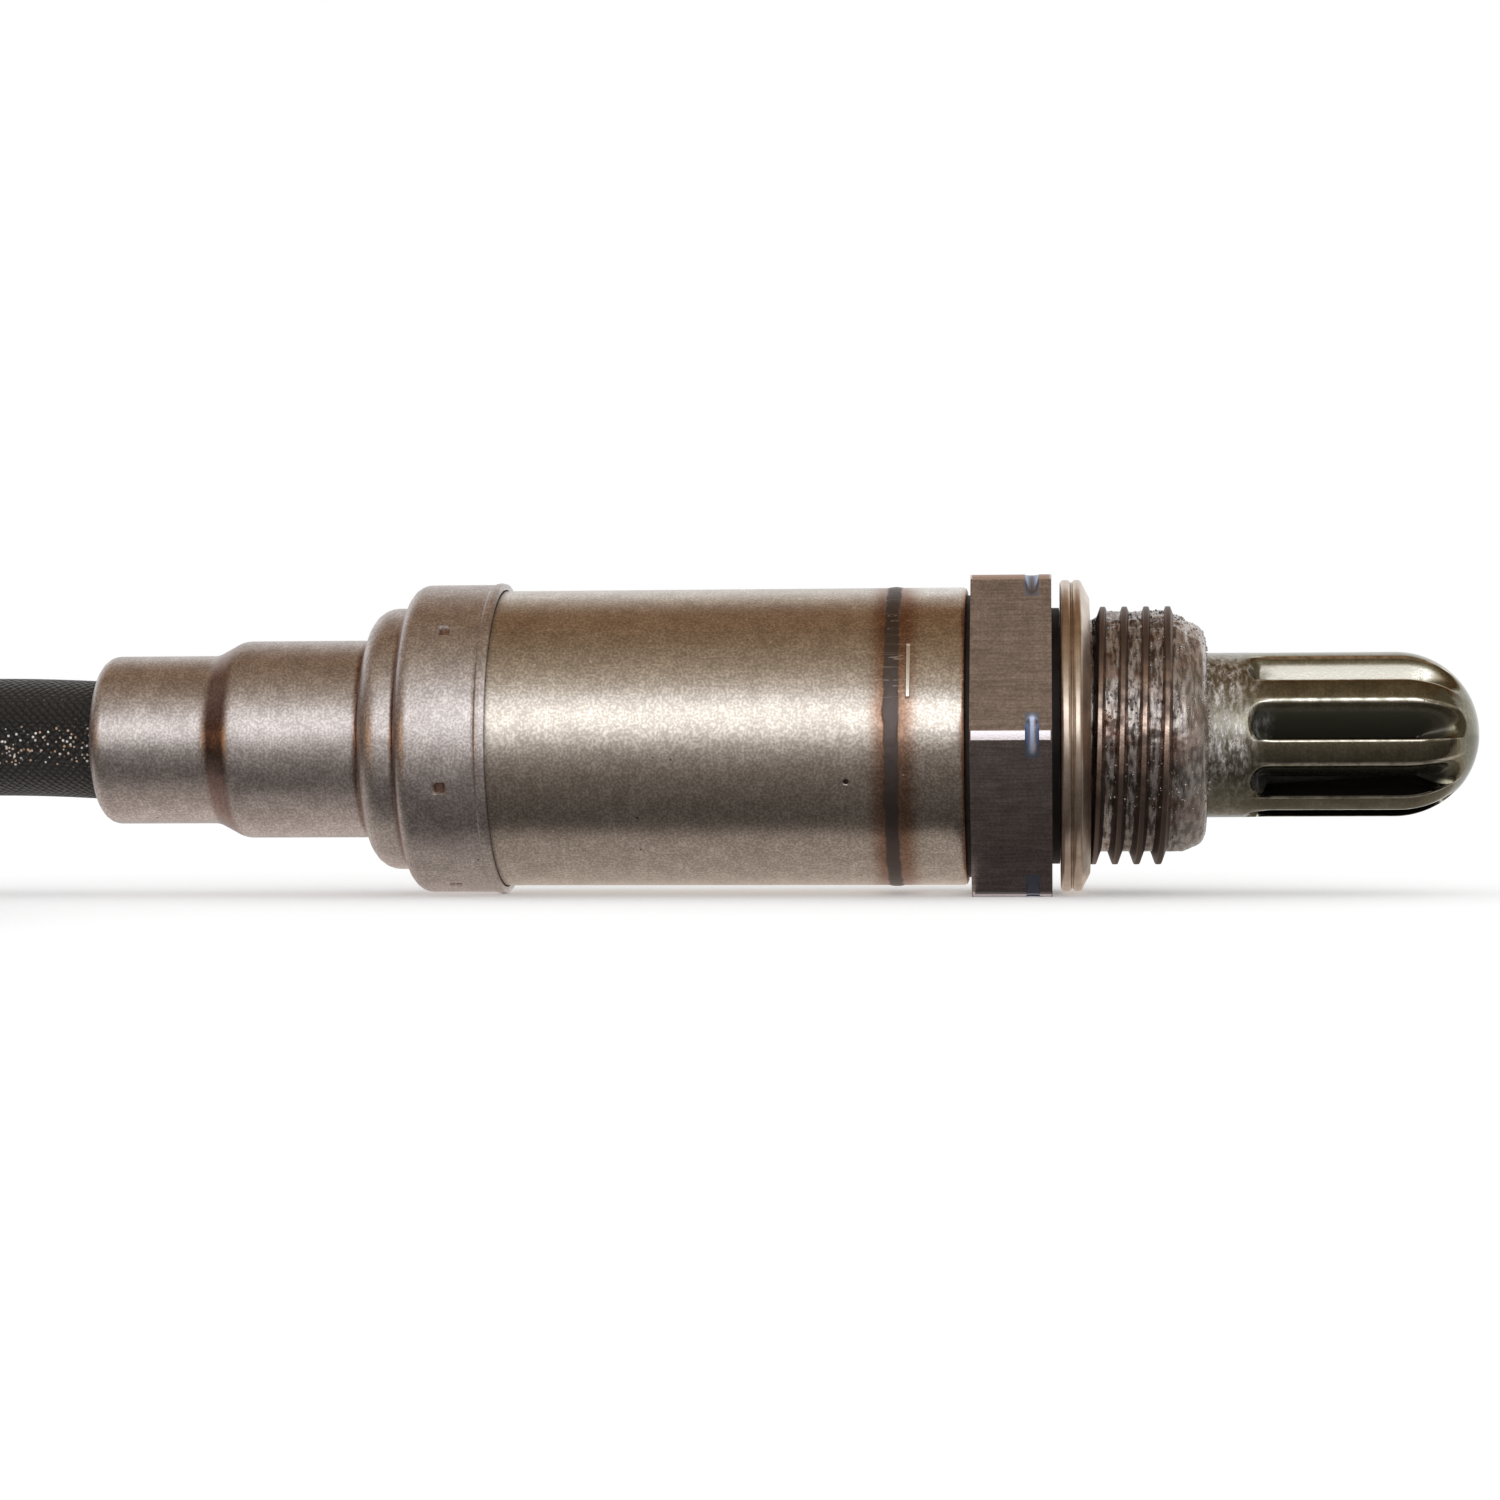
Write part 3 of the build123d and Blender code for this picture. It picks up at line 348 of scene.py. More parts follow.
flecked = blend_colours(weave["Flecks"] * 0.35, shaded_colour, tone(186, 172, 150))
feed(
    shader,
    {
        "Base Color": blend_colours(painted_glints, flecked, painted_glint_colour),
        "Roughness": rescale(weave["Fibres"], 0.2, 0.8, 0.42, 0.62),
        "Sheen Weight": 0.16,
        "Sheen Roughness": 0.4,
    },
)
raise_surface(shader, weave["Height"] + weave["Fibres"] * 0.35, 0.9, 0.00012)

cable_sleeve = tube_along("cable_sleeve", cable_line, cable_diameter / 2, cable_sides)
dress(cable_sleeve, braid_cloth)
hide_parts("cable")

# Floor and light. The sensor lies on a plain white surface in even light. A bright panel stands
# in front, a warm brown board is overhead and a dark strip lies before it, for the reflections.
floor_colour = (0.92, 0.92, 0.92, 1.0)
floor_size = 3.0
floor = new_piece(
    "floor",
    [(x * floor_size, y * floor_size, -0.00002) for x, y in ((-1, -1), (1, -1), (1, 1), (-1, 1))],
    [(0, 1, 2, 3)],
)
floor_white, shader, place = new_material("floor_white")
seen = field(place.tree, "ShaderNodeLightPath", output="Is Camera Ray")
feed(
    shader,
    {
        "Base Color": floor_colour,
        "Roughness": 0.9,
        "Specular IOR Level": 0.0,
        "Emission Color": (1, 1, 1, 1),
        "Emission Strength": seen * 0.25,
    },
)
floor.data.materials.append(floor_white)


def either(first, *others):
    """The largest of some values."""
    for other in others:
        first = first.math("MAXIMUM", other)
    return first


world = bpy.data.worlds.new("surround")
world.use_nodes = True
scene.world = world
rays = add_node(world.node_tree, "ShaderNodeLightPath").outputs
kinds = ("Camera", "Glossy", "Transmission")
shown = either(*[Value(world.node_tree, rays[f"Is {kind} Ray"]) for kind in kinds])
brightness = field(world.node_tree, "ShaderNodeMapRange", {0: shown, 3: 0.82, 4: 1.0})
feed(world.node_tree.nodes["Background"], {0: (1, 1, 1, 1), 1: brightness})

lamp_data = bpy.data.lights.new("front_panel", "AREA")
lamp_data.shape = "RECTANGLE"
lamp_data.size = 1.6
lamp_data.size_y = 0.36
lamp_data.energy = 1.12 * pi * lamp_data.size * lamp_data.size_y
lamp = bpy.data.objects.new("front_panel", lamp_data)
lamp.location = (0.02, -0.9, 0.28)
lamp.rotation_euler = (Vector((0, 0, 0.011)) - lamp.location).to_track_quat("-Z", "Y").to_euler()
scene.collection.objects.link(lamp)


def reflection_card(name, places, shades, span=(-0.7, 0.7), turn=0.0, strength=1.0):
    """A board that only shows in reflections. Its shades run over it from its first edge on."""
    card = new_piece(
        name,
        [(x, y, z) for y, z in places for x in span],
        [(2 * i, 2 * i + 1, 2 * i + 3, 2 * i + 2) for i in range(len(places) - 1)],
    )
    card.rotation_euler.z = turn
    layer = card.data.uv_layers.new(name="run")
    for loop in card.data.loops:
        layer.data[loop.index].uv = (loop.vertex_index // 2 / (len(places) - 1), 0.5)
    material = bpy.data.materials.new(name)
    material.use_nodes = True
    tree = material.node_tree
    tree.nodes.clear()
    run = apart(field(tree, "ShaderNodeUVMap", uv_map="run"))[0]
    ramp = add_node(tree, "ShaderNodeValToRGB", {0: run})
    stops = ramp.color_ramp.elements
    while len(stops) < len(shades):
        stops.new(0.5)
    for stop, (place, colour) in zip(stops, shades):
        stop.position = place
        stop.color = (*colour, 1.0)
    glow = add_node(tree, "ShaderNodeEmission", {0: ramp.outputs[0], 1: strength})
    add_node(tree, "ShaderNodeOutputMaterial", {0: glow.outputs[0]})
    card.data.materials.append(material)
    for kind in ("camera", "diffuse", "shadow", "transmission", "volume_scatter"):
        setattr(card, f"visible_{kind}", False)


overhead_arc = [
    (-0.45 * cos(radians(degree)), 0.011 + 0.45 * sin(radians(degree)))
    for degree in range(34, 139, 4)
]
reflection_card(
    "overhead_board",
    overhead_arc,
    [
        (0.0, (0.75, 0.68, 0.60)),
        (0.18, (0.42, 0.335, 0.245)),
        (0.42, (0.27, 0.187, 0.117)),
        (0.78, (0.24, 0.128, 0.062)),
        (1.0, (0.75, 0.68, 0.60)),
    ],
)
floor_shades = [
    (0.006, 0.85),
    (0.001, 0.74),
    (-0.0034, 0.5),
    (-0.0054, 0.43),
    (-0.0078, 0.41),
    (-0.0088, 0.3),
    (-0.0097, 0.1),
    (-0.0116, 0.08),
    (-0.0146, 0.11),
    (-0.0187, 0.135),
    (-0.0255, 0.17),
    (-0.0396, 0.25),
    (-0.099, 0.42),
    (-0.26, 0.8),
]
reflection_card(
    "dark_strip",
    [(station, 0.0001) for station, _ in floor_shades],
    [
        (index / (len(floor_shades) - 1), (shade, 0.87 * shade, 0.78 * shade))
        for index, (_, shade) in enumerate(floor_shades)
    ],
)
# The two patches under the hexagon and under the tube stand in for the shade on the floor below the
# sensor, in reflections: painted shade.
reflection_card(
    "dark_patch",
    [(-0.004, 0.0002), (-0.0102, 0.0002)],
    [(0.0, (0.11, 0.095, 0.09)), (1.0, (0.07, 0.06, 0.056))],
    (0.0141, 0.0197),
)
reflection_card(
    "tube_patch",
    [(0.008, 0.0002), (-0.001, 0.0002), (-0.0102, 0.0002)],
    [(0.0, (0.5, 0.45, 0.4)), (0.5, (0.3, 0.27, 0.24)), (1.0, (0.1, 0.09, 0.08))],
    (0.0235, 0.056),
)
reflection_card(
    "left_board",
    [(-0.45, -0.05), (-0.45, 0.1), (-0.45, 0.4)],
    [(0.0, (0.12, 0.075, 0.06)), (0.5, (0.12, 0.07, 0.05)), (1.0, (0.4, 0.33, 0.28))],
    (-0.1, 0.6),
    -pi / 2,
)
reflection_card(
    "warm_glow",
    [(-0.44, -0.01), (-0.44, 0.03)],
    [(0.0, (1.0, 0.5, 0.18)), (1.0, (1.0, 0.55, 0.22))],
    (0.2, 0.5),
    -pi / 2,
    7.0,
)
reflection_card(
    "right_board",
    [(-0.45, -0.05), (-0.45, 0.4)],
    [(0.0, (0.22, 0.19, 0.15)), (1.0, (0.3, 0.26, 0.2))],
    (-0.6, 0.1),
    pi / 2,
)

# Shell. One steel bar, turned and milled, with a 22 mm hexagon, a groove across its corners, a
# rolled M18 x 1.5 thread and a tapered nose. The collar at its rear is inside the sleeve.
axis_height = 0.011
hexagon_rear, hexagon_front = 0.01388, 0.01937
hexagon_flat = 0.011
hexagon_turned = 0.01253
groove_rear, groove_front, groove_radius = 0.01758, 0.01852, 0.012
groove_middle, groove_half = (groove_rear + groove_front) / 2, (groove_front - groove_rear) / 2
edge_break = 0.0001
collar_rear, collar_radius = 0.00498, 0.009875
neck_front, neck_radius, root_rear = 0.0199, 0.00895, 0.02
rear_bore, waist_bore, tube_bore = 0.0076, 0.0066, 0.00578
waist_rear, waist_front = 0.01748, 0.0246
thread_start, thread_turns = 0.0222, 3.7
thread_root = 0.0081
thread_pitch = 0.0015
nose_rear, nose_front, nose_face, nose_round = 0.0202, 0.02991, 0.02992, 0.0006
taper_rear, taper_slope, round_rear = 0.0284, 0.42, 0.02932
paste_fill, paste_lumps, paste_front = 0.00055, 0.0002, 0.0287
ring_depth = 0.000004


def turned_mesh(name, outline, angles):
    """A closed ring of metal from a closed outline of stations and radii. A radius is a length or
    says its length at an angle, which is in degrees above the horizontal on the side facing -Y."""
    vertices = []
    for station, radius in outline:
        for angle in angles:
            reach = radius(angle) if callable(radius) else radius
            turn = radians(angle)
            vertices.append((station, -reach * cos(turn), axis_height + reach * sin(turn)))
    piece = new_piece(name, vertices, grid_faces(len(outline), len(angles), True, True))
    shape = bmesh.new()
    shape.from_mesh(piece.data)
    bmesh.ops.remove_doubles(shape, verts=shape.verts, dist=1e-7)
    bmesh.ops.recalc_face_normals(shape, faces=shape.faces)
    shape.to_mesh(piece.data)
    shape.free()
    piece.data.shade_smooth()
    piece.data.set_sharp_from_angle(angle=radians(24))
    return piece


def hexagon_radius(limit):
    """The hexagon's reach at an angle, cut back to a turned radius."""

    def reach(angle):
        return min(limit, hexagon_flat / cos(radians((angle % 60) - 30)))

    return reach


def groove_limit(station):
    """The turned radius along the hexagon, with the round-bottomed groove in it."""
    offset = min(1.0, abs(station - groove_middle) / groove_half)
    return groove_radius + (hexagon_turned - groove_radius) * (1 - sqrt(max(0.0, 1 - offset**2)))


def nose_radius(station):
    """The root of the thread, and in front of it the nose's taper with its rounded end."""
    taper = thread_root - max(0.0, station - taper_rear) * taper_slope
    past = max(0.0, station - round_rear)
    return taper - nose_round + sqrt(max(0.0, nose_round**2 - past**2))


def pasted(station):
    """The same radius at an angle, with lumps of dried thread paste on it."""

    def reach(angle):
        across, up = cos(radians(angle)), sin(radians(angle))
        place = Vector((station * 1500, across * 12, up * 12))
        lumps = solid_noise(place) * 0.6 + solid_noise(place * 2.7) * 0.4
        fade = min(1.0, max(0.0, (station - thread_start) / 0.0008))
        above = min(1.0, max(0.0, (up + 0.45) / 1.2))
        ends = min(1.0, max(0.0, (paste_front - station) / 0.0015))
        filled = above * above * (3 - 2 * above) * (paste_fill + paste_lumps * lumps)
        return nose_radius(station) + fade * (filled * ends + 0.00006 * lumps)

    return reach


nose_stations = [nose_rear + step * (nose_front - nose_rear) / 84 for step in range(85)]
sector = [0, 0.6, 1.4, 2.2, 2.9, 3.6, 4.6, 5.6, 6.5, 7.5, 9, 12, 16, 20, 25]
hexagon_angles = sorted(
    {
        round((60 * side + sign * step) % 360, 3)
        for side in range(6)
        for sign in (-1, 1)
        for step in sector
    }
    | {60 * side + 30 for side in range(6)}
)
groove_stations = [groove_middle + groove_half * sin(radians(s)) for s in range(-90, 91, 15)]
shell_outline = (
    [(collar_rear, rear_bore), (collar_rear, collar_radius), (hexagon_rear, collar_radius)]
    + [(hexagon_rear, hexagon_radius(hexagon_turned - edge_break))]
    + [(hexagon_rear + edge_break, hexagon_radius(hexagon_turned))]
    + [(station, hexagon_radius(groove_limit(station))) for station in groove_stations]
    + [(hexagon_front - edge_break, hexagon_radius(hexagon_turned))]
    + [(hexagon_front, hexagon_radius(hexagon_turned - edge_break))]
    + [(hexagon_front, neck_radius), (neck_front, neck_radius), (root_rear, thread_root)]
    + [(station, pasted(station)) for station in nose_stations]
    + [(nose_face, radius) for radius in (0.0070, 0.0064, tube_bore)]
    + [(waist_front, tube_bore), (waist_front, waist_bore)]
    + [(waist_rear, waist_bore), (waist_rear, rear_bore)]
)
shell_body = turned_mesh("shell_body", shell_outline, hexagon_angles)


def stretched(place, scale):
    """A place with its coordinates multiplied."""
    return field(place.tree, "ShaderNodeVectorMath", {0: place, 1: scale}, operation="MULTIPLY")


# The marks of the lathe: fine rings about the axis
turning, given, made = new_group(
    "turning_marks", {"Vector": "Vector", "Rings": 9000.0, "Streaks": 160.0}, ["Height"]
)
drawn_thin = combine(turning, given["Rings"], given["Streaks"], given["Streaks"])
feed(made, {"Height": noise_at(stretched(given["Vector"], drawn_thin), detail=3.0)})

# Fine grain and blotches of handled metal
grain, given, made = new_group(
    "metal_grain",
    {"Vector": "Vector", "Grain": 6000.0, "Blotches": 800.0},
    ["Grain", "Blotch", "Pits"],
)
pit_distance, pit_chance, *_ = cells_at(given["Vector"], given["Blotches"])
feed(
    made,
    {
        "Grain": noise_at(given["Vector"], given["Grain"]),
        "Blotch": noise_at(given["Vector"], given["Blotches"], 4.0),
        "Pits": rescale(pit_distance, 0.09, 0.04) * rescale(pit_chance, 0.93, 0.95),
    },
)


def metal(name, colour, shade, roughness, rings=9000.0, grain_depth=0.000004, speckle=0.35):
    """Bare metal with turning marks and grain: the material, its shader and place, and the
    colour, roughness and height that later nodes build on."""
    material, shader, place = new_material(name)
    marks = use_group(place.tree, turning, {"Vector": place, "Rings": rings})
    speck = use_group(place.tree, grain, {"Vector": place})
    mottled = blend_colours(rescale(speck["Blotch"], 0.2, 0.8), shade, colour)
    streaked = blend_colours(rescale(marks["Height"], 0.35, 0.65, 0.0, 0.4), mottled, shade)
    grainy = rescale(speck["Grain"], 0.38, 0.66, speckle, 0.0)
    speckled = blend_colours(grainy, streaked, tone(150, 144, 138), "MULTIPLY")
    pitted = blend_colours(speck["Pits"], speckled, tone(60, 50, 44))
    rough = speck["Grain"] * 0.12 + (roughness - 0.05)
    height = marks["Height"] * ring_depth + speck["Grain"] * grain_depth
    feed(shader, {"Metallic": 1.0, "Base Color": pitted, "Roughness": rough})
    raise_surface(shader, height)
    return material, shader, place, pitted, rough, height


def axis_distance(across, up):
    """The distance of a place from the sensor's axis."""
    return (across**2.0 + (up - axis_height) ** 2.0).math("SQRT")


# Milled flats with a faint hatch of tool marks, the groove painted bluish as a painted reflection,
# and a land along the corners, burnished and painted near white, partly a painted highlight
shell_steel, shader, place, pitted, rough, _ = metal(
    "shell_steel", tone(208, 199, 199), tone(182, 172, 171), 0.3
)
hatch = rescale(noise_at(stretched(place, (400.0, 7000.0, 7000.0))), 0.35, 0.65, 0.0, 0.3)
hatched = blend_colours(hatch, pitted, tone(150, 136, 130), "MULTIPLY")
along, across, up = apart(place)
from_axis = axis_distance(across, up)
groove_span = near(along, groove_middle, 0.00046, 0.00006)
in_groove = groove_span * rescale(from_axis, 0.01188, 0.01196)
# The groove is painted bluish: a painted reflection.
painted_blue_reflection = blend_colours(in_groove, hatched, tone(150, 160, 184))
# The land along the corners is painted near white: partly burnished metal, partly a painted
# highlight.
corner_land = rescale(from_axis, 0.01249, 0.01252)
feed(
    shader,
    {
        "Base Color": blend_colours(corner_land, painted_blue_reflection, tone(250, 244, 250)),
        "Roughness": rough - corner_land * 0.17,
    },
)

# Painted shade: near black on the collar and the neck, in the narrow gaps beside the hexagon
painted_gap_shade, shader, place = new_material("painted_gap_shade")
blotch = rescale(use_group(place.tree, grain, {"Vector": place})["Blotch"], 0.3, 0.7)
gap_shade_colour = blend_colours(blotch, tone(30, 26, 26), tone(48, 42, 40))
feed(shader, {"Base Color": gap_shade_colour, "Roughness": 0.6})

# Dried assembly paste: grey-black and gritty with silvery and copper specks
paste, shader, place = new_material("thread_paste")
drawn_place = stretched(place, (1.5, 0.4, 0.4))
speck = use_group(place.tree, grain, {"Vector": drawn_place, "Grain": 7000.0, "Blotches": 2400.0})
blotch = rescale(speck["Blotch"], 0.35, 0.62)
dark_paste = blend_colours(blotch, tone(92, 85, 83), tone(186, 178, 174))
copper = rescale(noise_at(place, 420.0), 0.5, 0.66) * 0.55
coppered = blend_colours(copper, dark_paste, tone(128, 92, 74))
gritty = blend_colours(rescale(speck["Grain"], 0.66, 0.8), coppered, tone(190, 184, 180))
# The paste on the nose is painted lighter: a painted highlight.
nose_painted_light = rescale(apart(place)[0], 0.0274, 0.0284, 0.0, 0.32)
feed(
    shader,
    {
        "Base Color": blend_colours(nose_painted_light, gritty, tone(222, 214, 208)),
        "Metallic": rescale(speck["Blotch"], 0.3, 0.7, 0.95, 0.75),
        "Roughness": rescale(speck["Grain"], 0.3, 0.7, 0.4, 0.2),
    },
)
raise_surface(shader, speck["Blotch"] * 0.000035 + speck["Grain"] * 0.00002)

for material in (shell_steel, paste, painted_gap_shade):
    shell_body.data.materials.append(material)
for polygon in shell_body.data.polygons:
    if polygon.center.x > root_rear + edge_break:
        polygon.material_index = 1
    elif not hexagon_rear < polygon.center.x < hexagon_front - 0.00002 and hypot(
        polygon.center.y, polygon.center.z - axis_height
    ) < 0.0099:
        polygon.material_index = 2
dress(shell_body, shell_steel)
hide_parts("shell")


def settle(piece):
    """Makes what a piece's modifiers give its plain mesh."""
    depsgraph = bpy.context.evaluated_depsgraph_get()
    settled = bpy.data.meshes.new_from_object(piece.evaluated_get(depsgraph), depsgraph=depsgraph)
    piece.modifiers.clear()
    piece.data = settled


def grow(piece, tree, **values):
    """Runs a Geometry Nodes tree on a piece, with values for its named inputs."""
    modifier = piece.modifiers.new(tree.name, "NODES")
    modifier.node_group = tree
    for item in tree.interface.items_tree:
        if item.in_out == "INPUT" and item.name in values:
            modifier[item.identifier] = values[item.name]
    settle(piece)


def moved(shape, offset=(0.0, 0.0, 0.0), turn=(0.0, 0.0, 0.0)):
    """Geometry turned and then moved by a Geometry Nodes tree."""
    inputs = {"Geometry": shape, "Translation": offset, "Rotation": turn}
    return field(shape.tree, "GeometryNodeTransform", inputs)


def hand_over(shape, given, made):
    """Gives geometry its material and lets its Geometry Nodes tree end with it."""
    inputs = {0: shape, "Material": given["Material"]}
    feed(made, {0: field(shape.tree, "GeometryNodeSetMaterial", inputs)})


# The rolled thread: one rounded ridge that follows a helix and runs out at both ends
helix, given, made = new_group(
    "thread_helix",
    {
        "Pitch": 0.0015,
        "Turns": 4.0,
        "Root Radius": 0.0081,
        "Depth": 0.0009,
        "Base Width": 0.00118,
        "Crest Width": 0.00034,
        "Start": 0.022,
        "Height": 0.011,
        "Clocking": 0.0,
        "Material": "Material",
    },
)
spiral = field(
    helix,
    "GeometryNodeCurveSpiral",
    {
        "Resolution": 96,
        "Rotations": given["Turns"],
        "Start Radius": given["Root Radius"],
        "End Radius": given["Root Radius"],
        "Height": given["Pitch"] * given["Turns"],
    },
)
upright = field(helix, "GeometryNodeSetCurveNormal", {"Curve": spiral}, mode="Z_UP")
along = field(helix, "GeometryNodeSplineParameter", output="Factor")
from_start = field(helix, "ShaderNodeMapRange", {0: along, 1: 0.0, 2: 0.06, 3: 0.05, 4: 1.0})
to_end = field(helix, "ShaderNodeMapRange", {0: along, 1: 1.0, 2: 0.86, 3: 0.02, 4: 1.0})
run_out = from_start.math("MINIMUM", to_end)
faded = field(helix, "GeometryNodeSetCurveRadius", {"Curve": upright, "Radius": run_out})
section = field(
    helix,
    "GeometryNodeCurvePrimitiveQuadrilateral",
    {
        "Height": given["Depth"] * 1.3,
        "Bottom Width": given["Base Width"],
        "Top Width": given["Crest Width"],
        "Offset": 0.0,
    },
    mode="TRAPEZOID",
)
fillet = {"Curve": section, "Radius": 0.00009, "Count": 3}
softened = field(helix, "GeometryNodeFilletCurve", fillet, mode="POLY")
outward = moved(softened, combine(helix, given["Depth"] * -0.35), (0.0, 0.0, pi / 2))
sweep = {"Curve": faded, "Profile Curve": outward, "Fill Caps": True}
ridge = field(helix, "GeometryNodeCurveToMesh", sweep)
clocked = moved(ridge, turn=combine(helix, 0.0, 0.0, given["Clocking"]))
laid = moved(clocked, combine(helix, given["Start"], 0.0, given["Height"]), (0.0, pi / 2, 0.0))
real = field(helix, "GeometryNodeRealizeInstances", {0: laid})
hand_over(real, given, made)

thread_steel, shader, place, pitted, *_ = metal(
    "thread_steel", tone(240, 216, 202), tone(160, 140, 130), 0.24, 1500.0
)
# The crests are painted bright only in a band about the axis height and darker above and below: a
# painted highlight, broken by caked paste.
caked = rescale(noise_at(place, 700.0, 4.0), 0.36, 0.56)
wear_and_highlight = near(apart(place)[2], 0.0112, 0.0026, 0.0036) * caked
feed(
    shader,
    {
        "Base Color": blend_colours(wear_and_highlight, tone(118, 104, 98), pitted),
        "Roughness": rescale(wear_and_highlight, 0.0, 1.0, 0.5, 0.26),
    },
)
thread_ridge = new_piece("thread_ridge")
grow(
    thread_ridge,
    helix,
    Pitch=thread_pitch,
    Turns=thread_turns,
    Start=thread_start,
    Material=thread_steel,
)
dress(thread_ridge, thread_steel)

# Grit in the paste: small grains scattered over the upper side of the thread and the nose
grit_tree, given, made = new_group(
    "scattered_grit",
    {"Density": 6.0e6, "Seed": 7, "Smallest": 0.00003, "Largest": 0.00009, "Material": "Material"},
)
grains = add_node(
    grit_tree,
    "GeometryNodeDistributePointsOnFaces",
    {"Mesh": given["Geometry"], "Density": given["Density"], "Seed": given["Seed"]},
)
lump = field(grit_tree, "GeometryNodeMeshIcoSphere", {"Radius": 1.0, "Subdivisions": 1})
grain_size = field(
    grit_tree,
    "FunctionNodeRandomValue",
    {2: given["Smallest"], 3: given["Largest"], "Seed": given["Seed"]},
    1,
    data_type="FLOAT",
)
strewn = field(
    grit_tree,
    "GeometryNodeInstanceOnPoints",
    {
        "Points": grains.outputs[0],
        "Instance": lump,
        "Rotation": grains.outputs["Rotation"],
        "Scale": grain_size,
    },
)
real = field(grit_tree, "GeometryNodeRealizeInstances", {0: strewn})
hand_over(real, given, made)

grit_rings = [(station, pasted(station)(70)) for station in nose_stations[24:]] + [(0.0301, 0.0062)]
grit_angles = [radians(angle) for angle in range(-40, 221, 10)]
paste_grit = new_piece(
    "paste_grit",
    [
        (station, -radius * cos(angle), axis_height + radius * sin(angle))
        for station, radius in grit_rings
        for angle in grit_angles
    ],
    grid_faces(len(grit_rings), len(grit_angles)),
)
grow(paste_grit, grit_tree, Density=6.0e6, Seed=7, Material=paste)
dress(paste_grit, paste)

# Outer sleeve. A drawn steel tube with its rear rolled in, slid over the shell's collar and
# welded to it all round by laser. The heat has tinted the metal beside the bead.
sleeve_radius, sleeve_wall = 0.010425, 0.0005
sleeve_rear, sleeve_front = -0.0243, 0.01356
weld_rear, weld_middle, weld_front, weld_rise = 0.0080, 0.00875, 0.0091, 0.00008
sleeve_mouth, front_round, front_bevel = 0.0069, 0.0003, 0.00009
even_angles = [360 * step / 192 for step in range(192)]

sleeve_steel, shader, place, pitted, rough, height = metal(
    "sleeve_steel", tone(238, 231, 223), tone(210, 202, 193), 0.3, speckle=0.5
)
along, across, up = apart(place)
wobble = noise_at(place, 900.0, 4.0)
ragged = along + wobble * 0.0004
heat = near(ragged, 0.0089, 0.0007, 0.0014)
tinted = blend_colours(heat, pitted, tone(198, 168, 152), "MULTIPLY")
bead = near(ragged, weld_middle, 0.0004, 0.0002)
charred = blend_colours(bead, tinted, tone(100, 92, 90))
end_heat = rescale(ragged, 0.0133, 0.01375)
straw = blend_colours(end_heat, charred, tone(226, 182, 150), "MULTIPLY")
# A small nick beside the weld: a real dent, painted near white as a painted highlight.
nick = near(along, 0.0097, 0.00011, 0.00006) * near(up, 0.0154, 0.0017, 0.0002)
nick = nick * rescale(across, -0.004, -0.006)
nick_highlighted = blend_colours(nick, straw, tone(252, 250, 246))
pit_place = {0: place, 1: (0.0055, -0.00996, 0.00792)}
pit_away = field(place.tree, "ShaderNodeVectorMath", pit_place, "Value", operation="DISTANCE")
pit = rescale(pit_away, 0.00026, 0.00014)
dust, _, dust_chance, _ = cells_at(place, 1100.0)
specks = rescale(dust, 0.16, 0.08) * rescale(dust_chance, 0.93, 0.96, 0.0, 0.8)
scratch_place = field(
    place.tree,
    "ShaderNodeMapping",
    {"Vector": place, "Rotation": (0.0, radians(-9), 0.0), "Scale": (160.0, 900.0, 3200.0)},
)
scratches = near(noise_at(scratch_place, detail=1.0), 0.6, 0.003, 0.005)
scratches = scratches * rescale(up, 0.0128, 0.0145, 0.0, 0.5)
wear_and_highlight = blend_colours(either(specks, scratches), nick_highlighted, tone(250, 244, 236))
feed(
    shader,
    {
        "Base Color": blend_colours(pit, wear_and_highlight, tone(84, 76, 70)),
        "Roughness": rough + bead * 0.15 - rescale(along, 0.0092, 0.0100, 0.0, 0.09),
    },
)
raise_surface(shader, height + bead * wobble * 0.00006 - either(nick, pit) * 0.00005)


def rounded_outline(points, rounds, steps=6):
    """An outline whose corners are arcs of the given radii, none where the radius is nothing."""
    corners = [Vector(point) for point in points]
    line = []
    for index, (corner, size) in enumerate(zip(corners, rounds)):
        if size <= 0:
            line.append(tuple(corner))
            continue
        back = (corners[index - 1] - corner).normalized()
        ahead = (corners[(index + 1) % len(corners)] - corner).normalized()
        half = acos(max(-1.0, min(1.0, back.dot(ahead)))) / 2
        start, end = corner + back * size / tan(half), corner + ahead * size / tan(half)
        centre = corner + (back + ahead).normalized() * size / sin(half)
        for step in range(steps + 1):
            share = step / steps
            spoke = (start - centre) * (1 - share) + (end - centre) * share
            line.append(tuple(centre + spoke.normalized() * size))
    return line


def weld_bead(share):
    """The bead's height at an angle, rippled where the laser pulsed."""

    def reach(angle):
        turn = radians(angle)
        ripple = 0.78 + 0.12 * sin(turn * 61 + 7 * share) + 0.1 * sin(turn * 17 + 2)
        return sleeve_radius + weld_rise * sin(pi * share) * ripple

    return reach


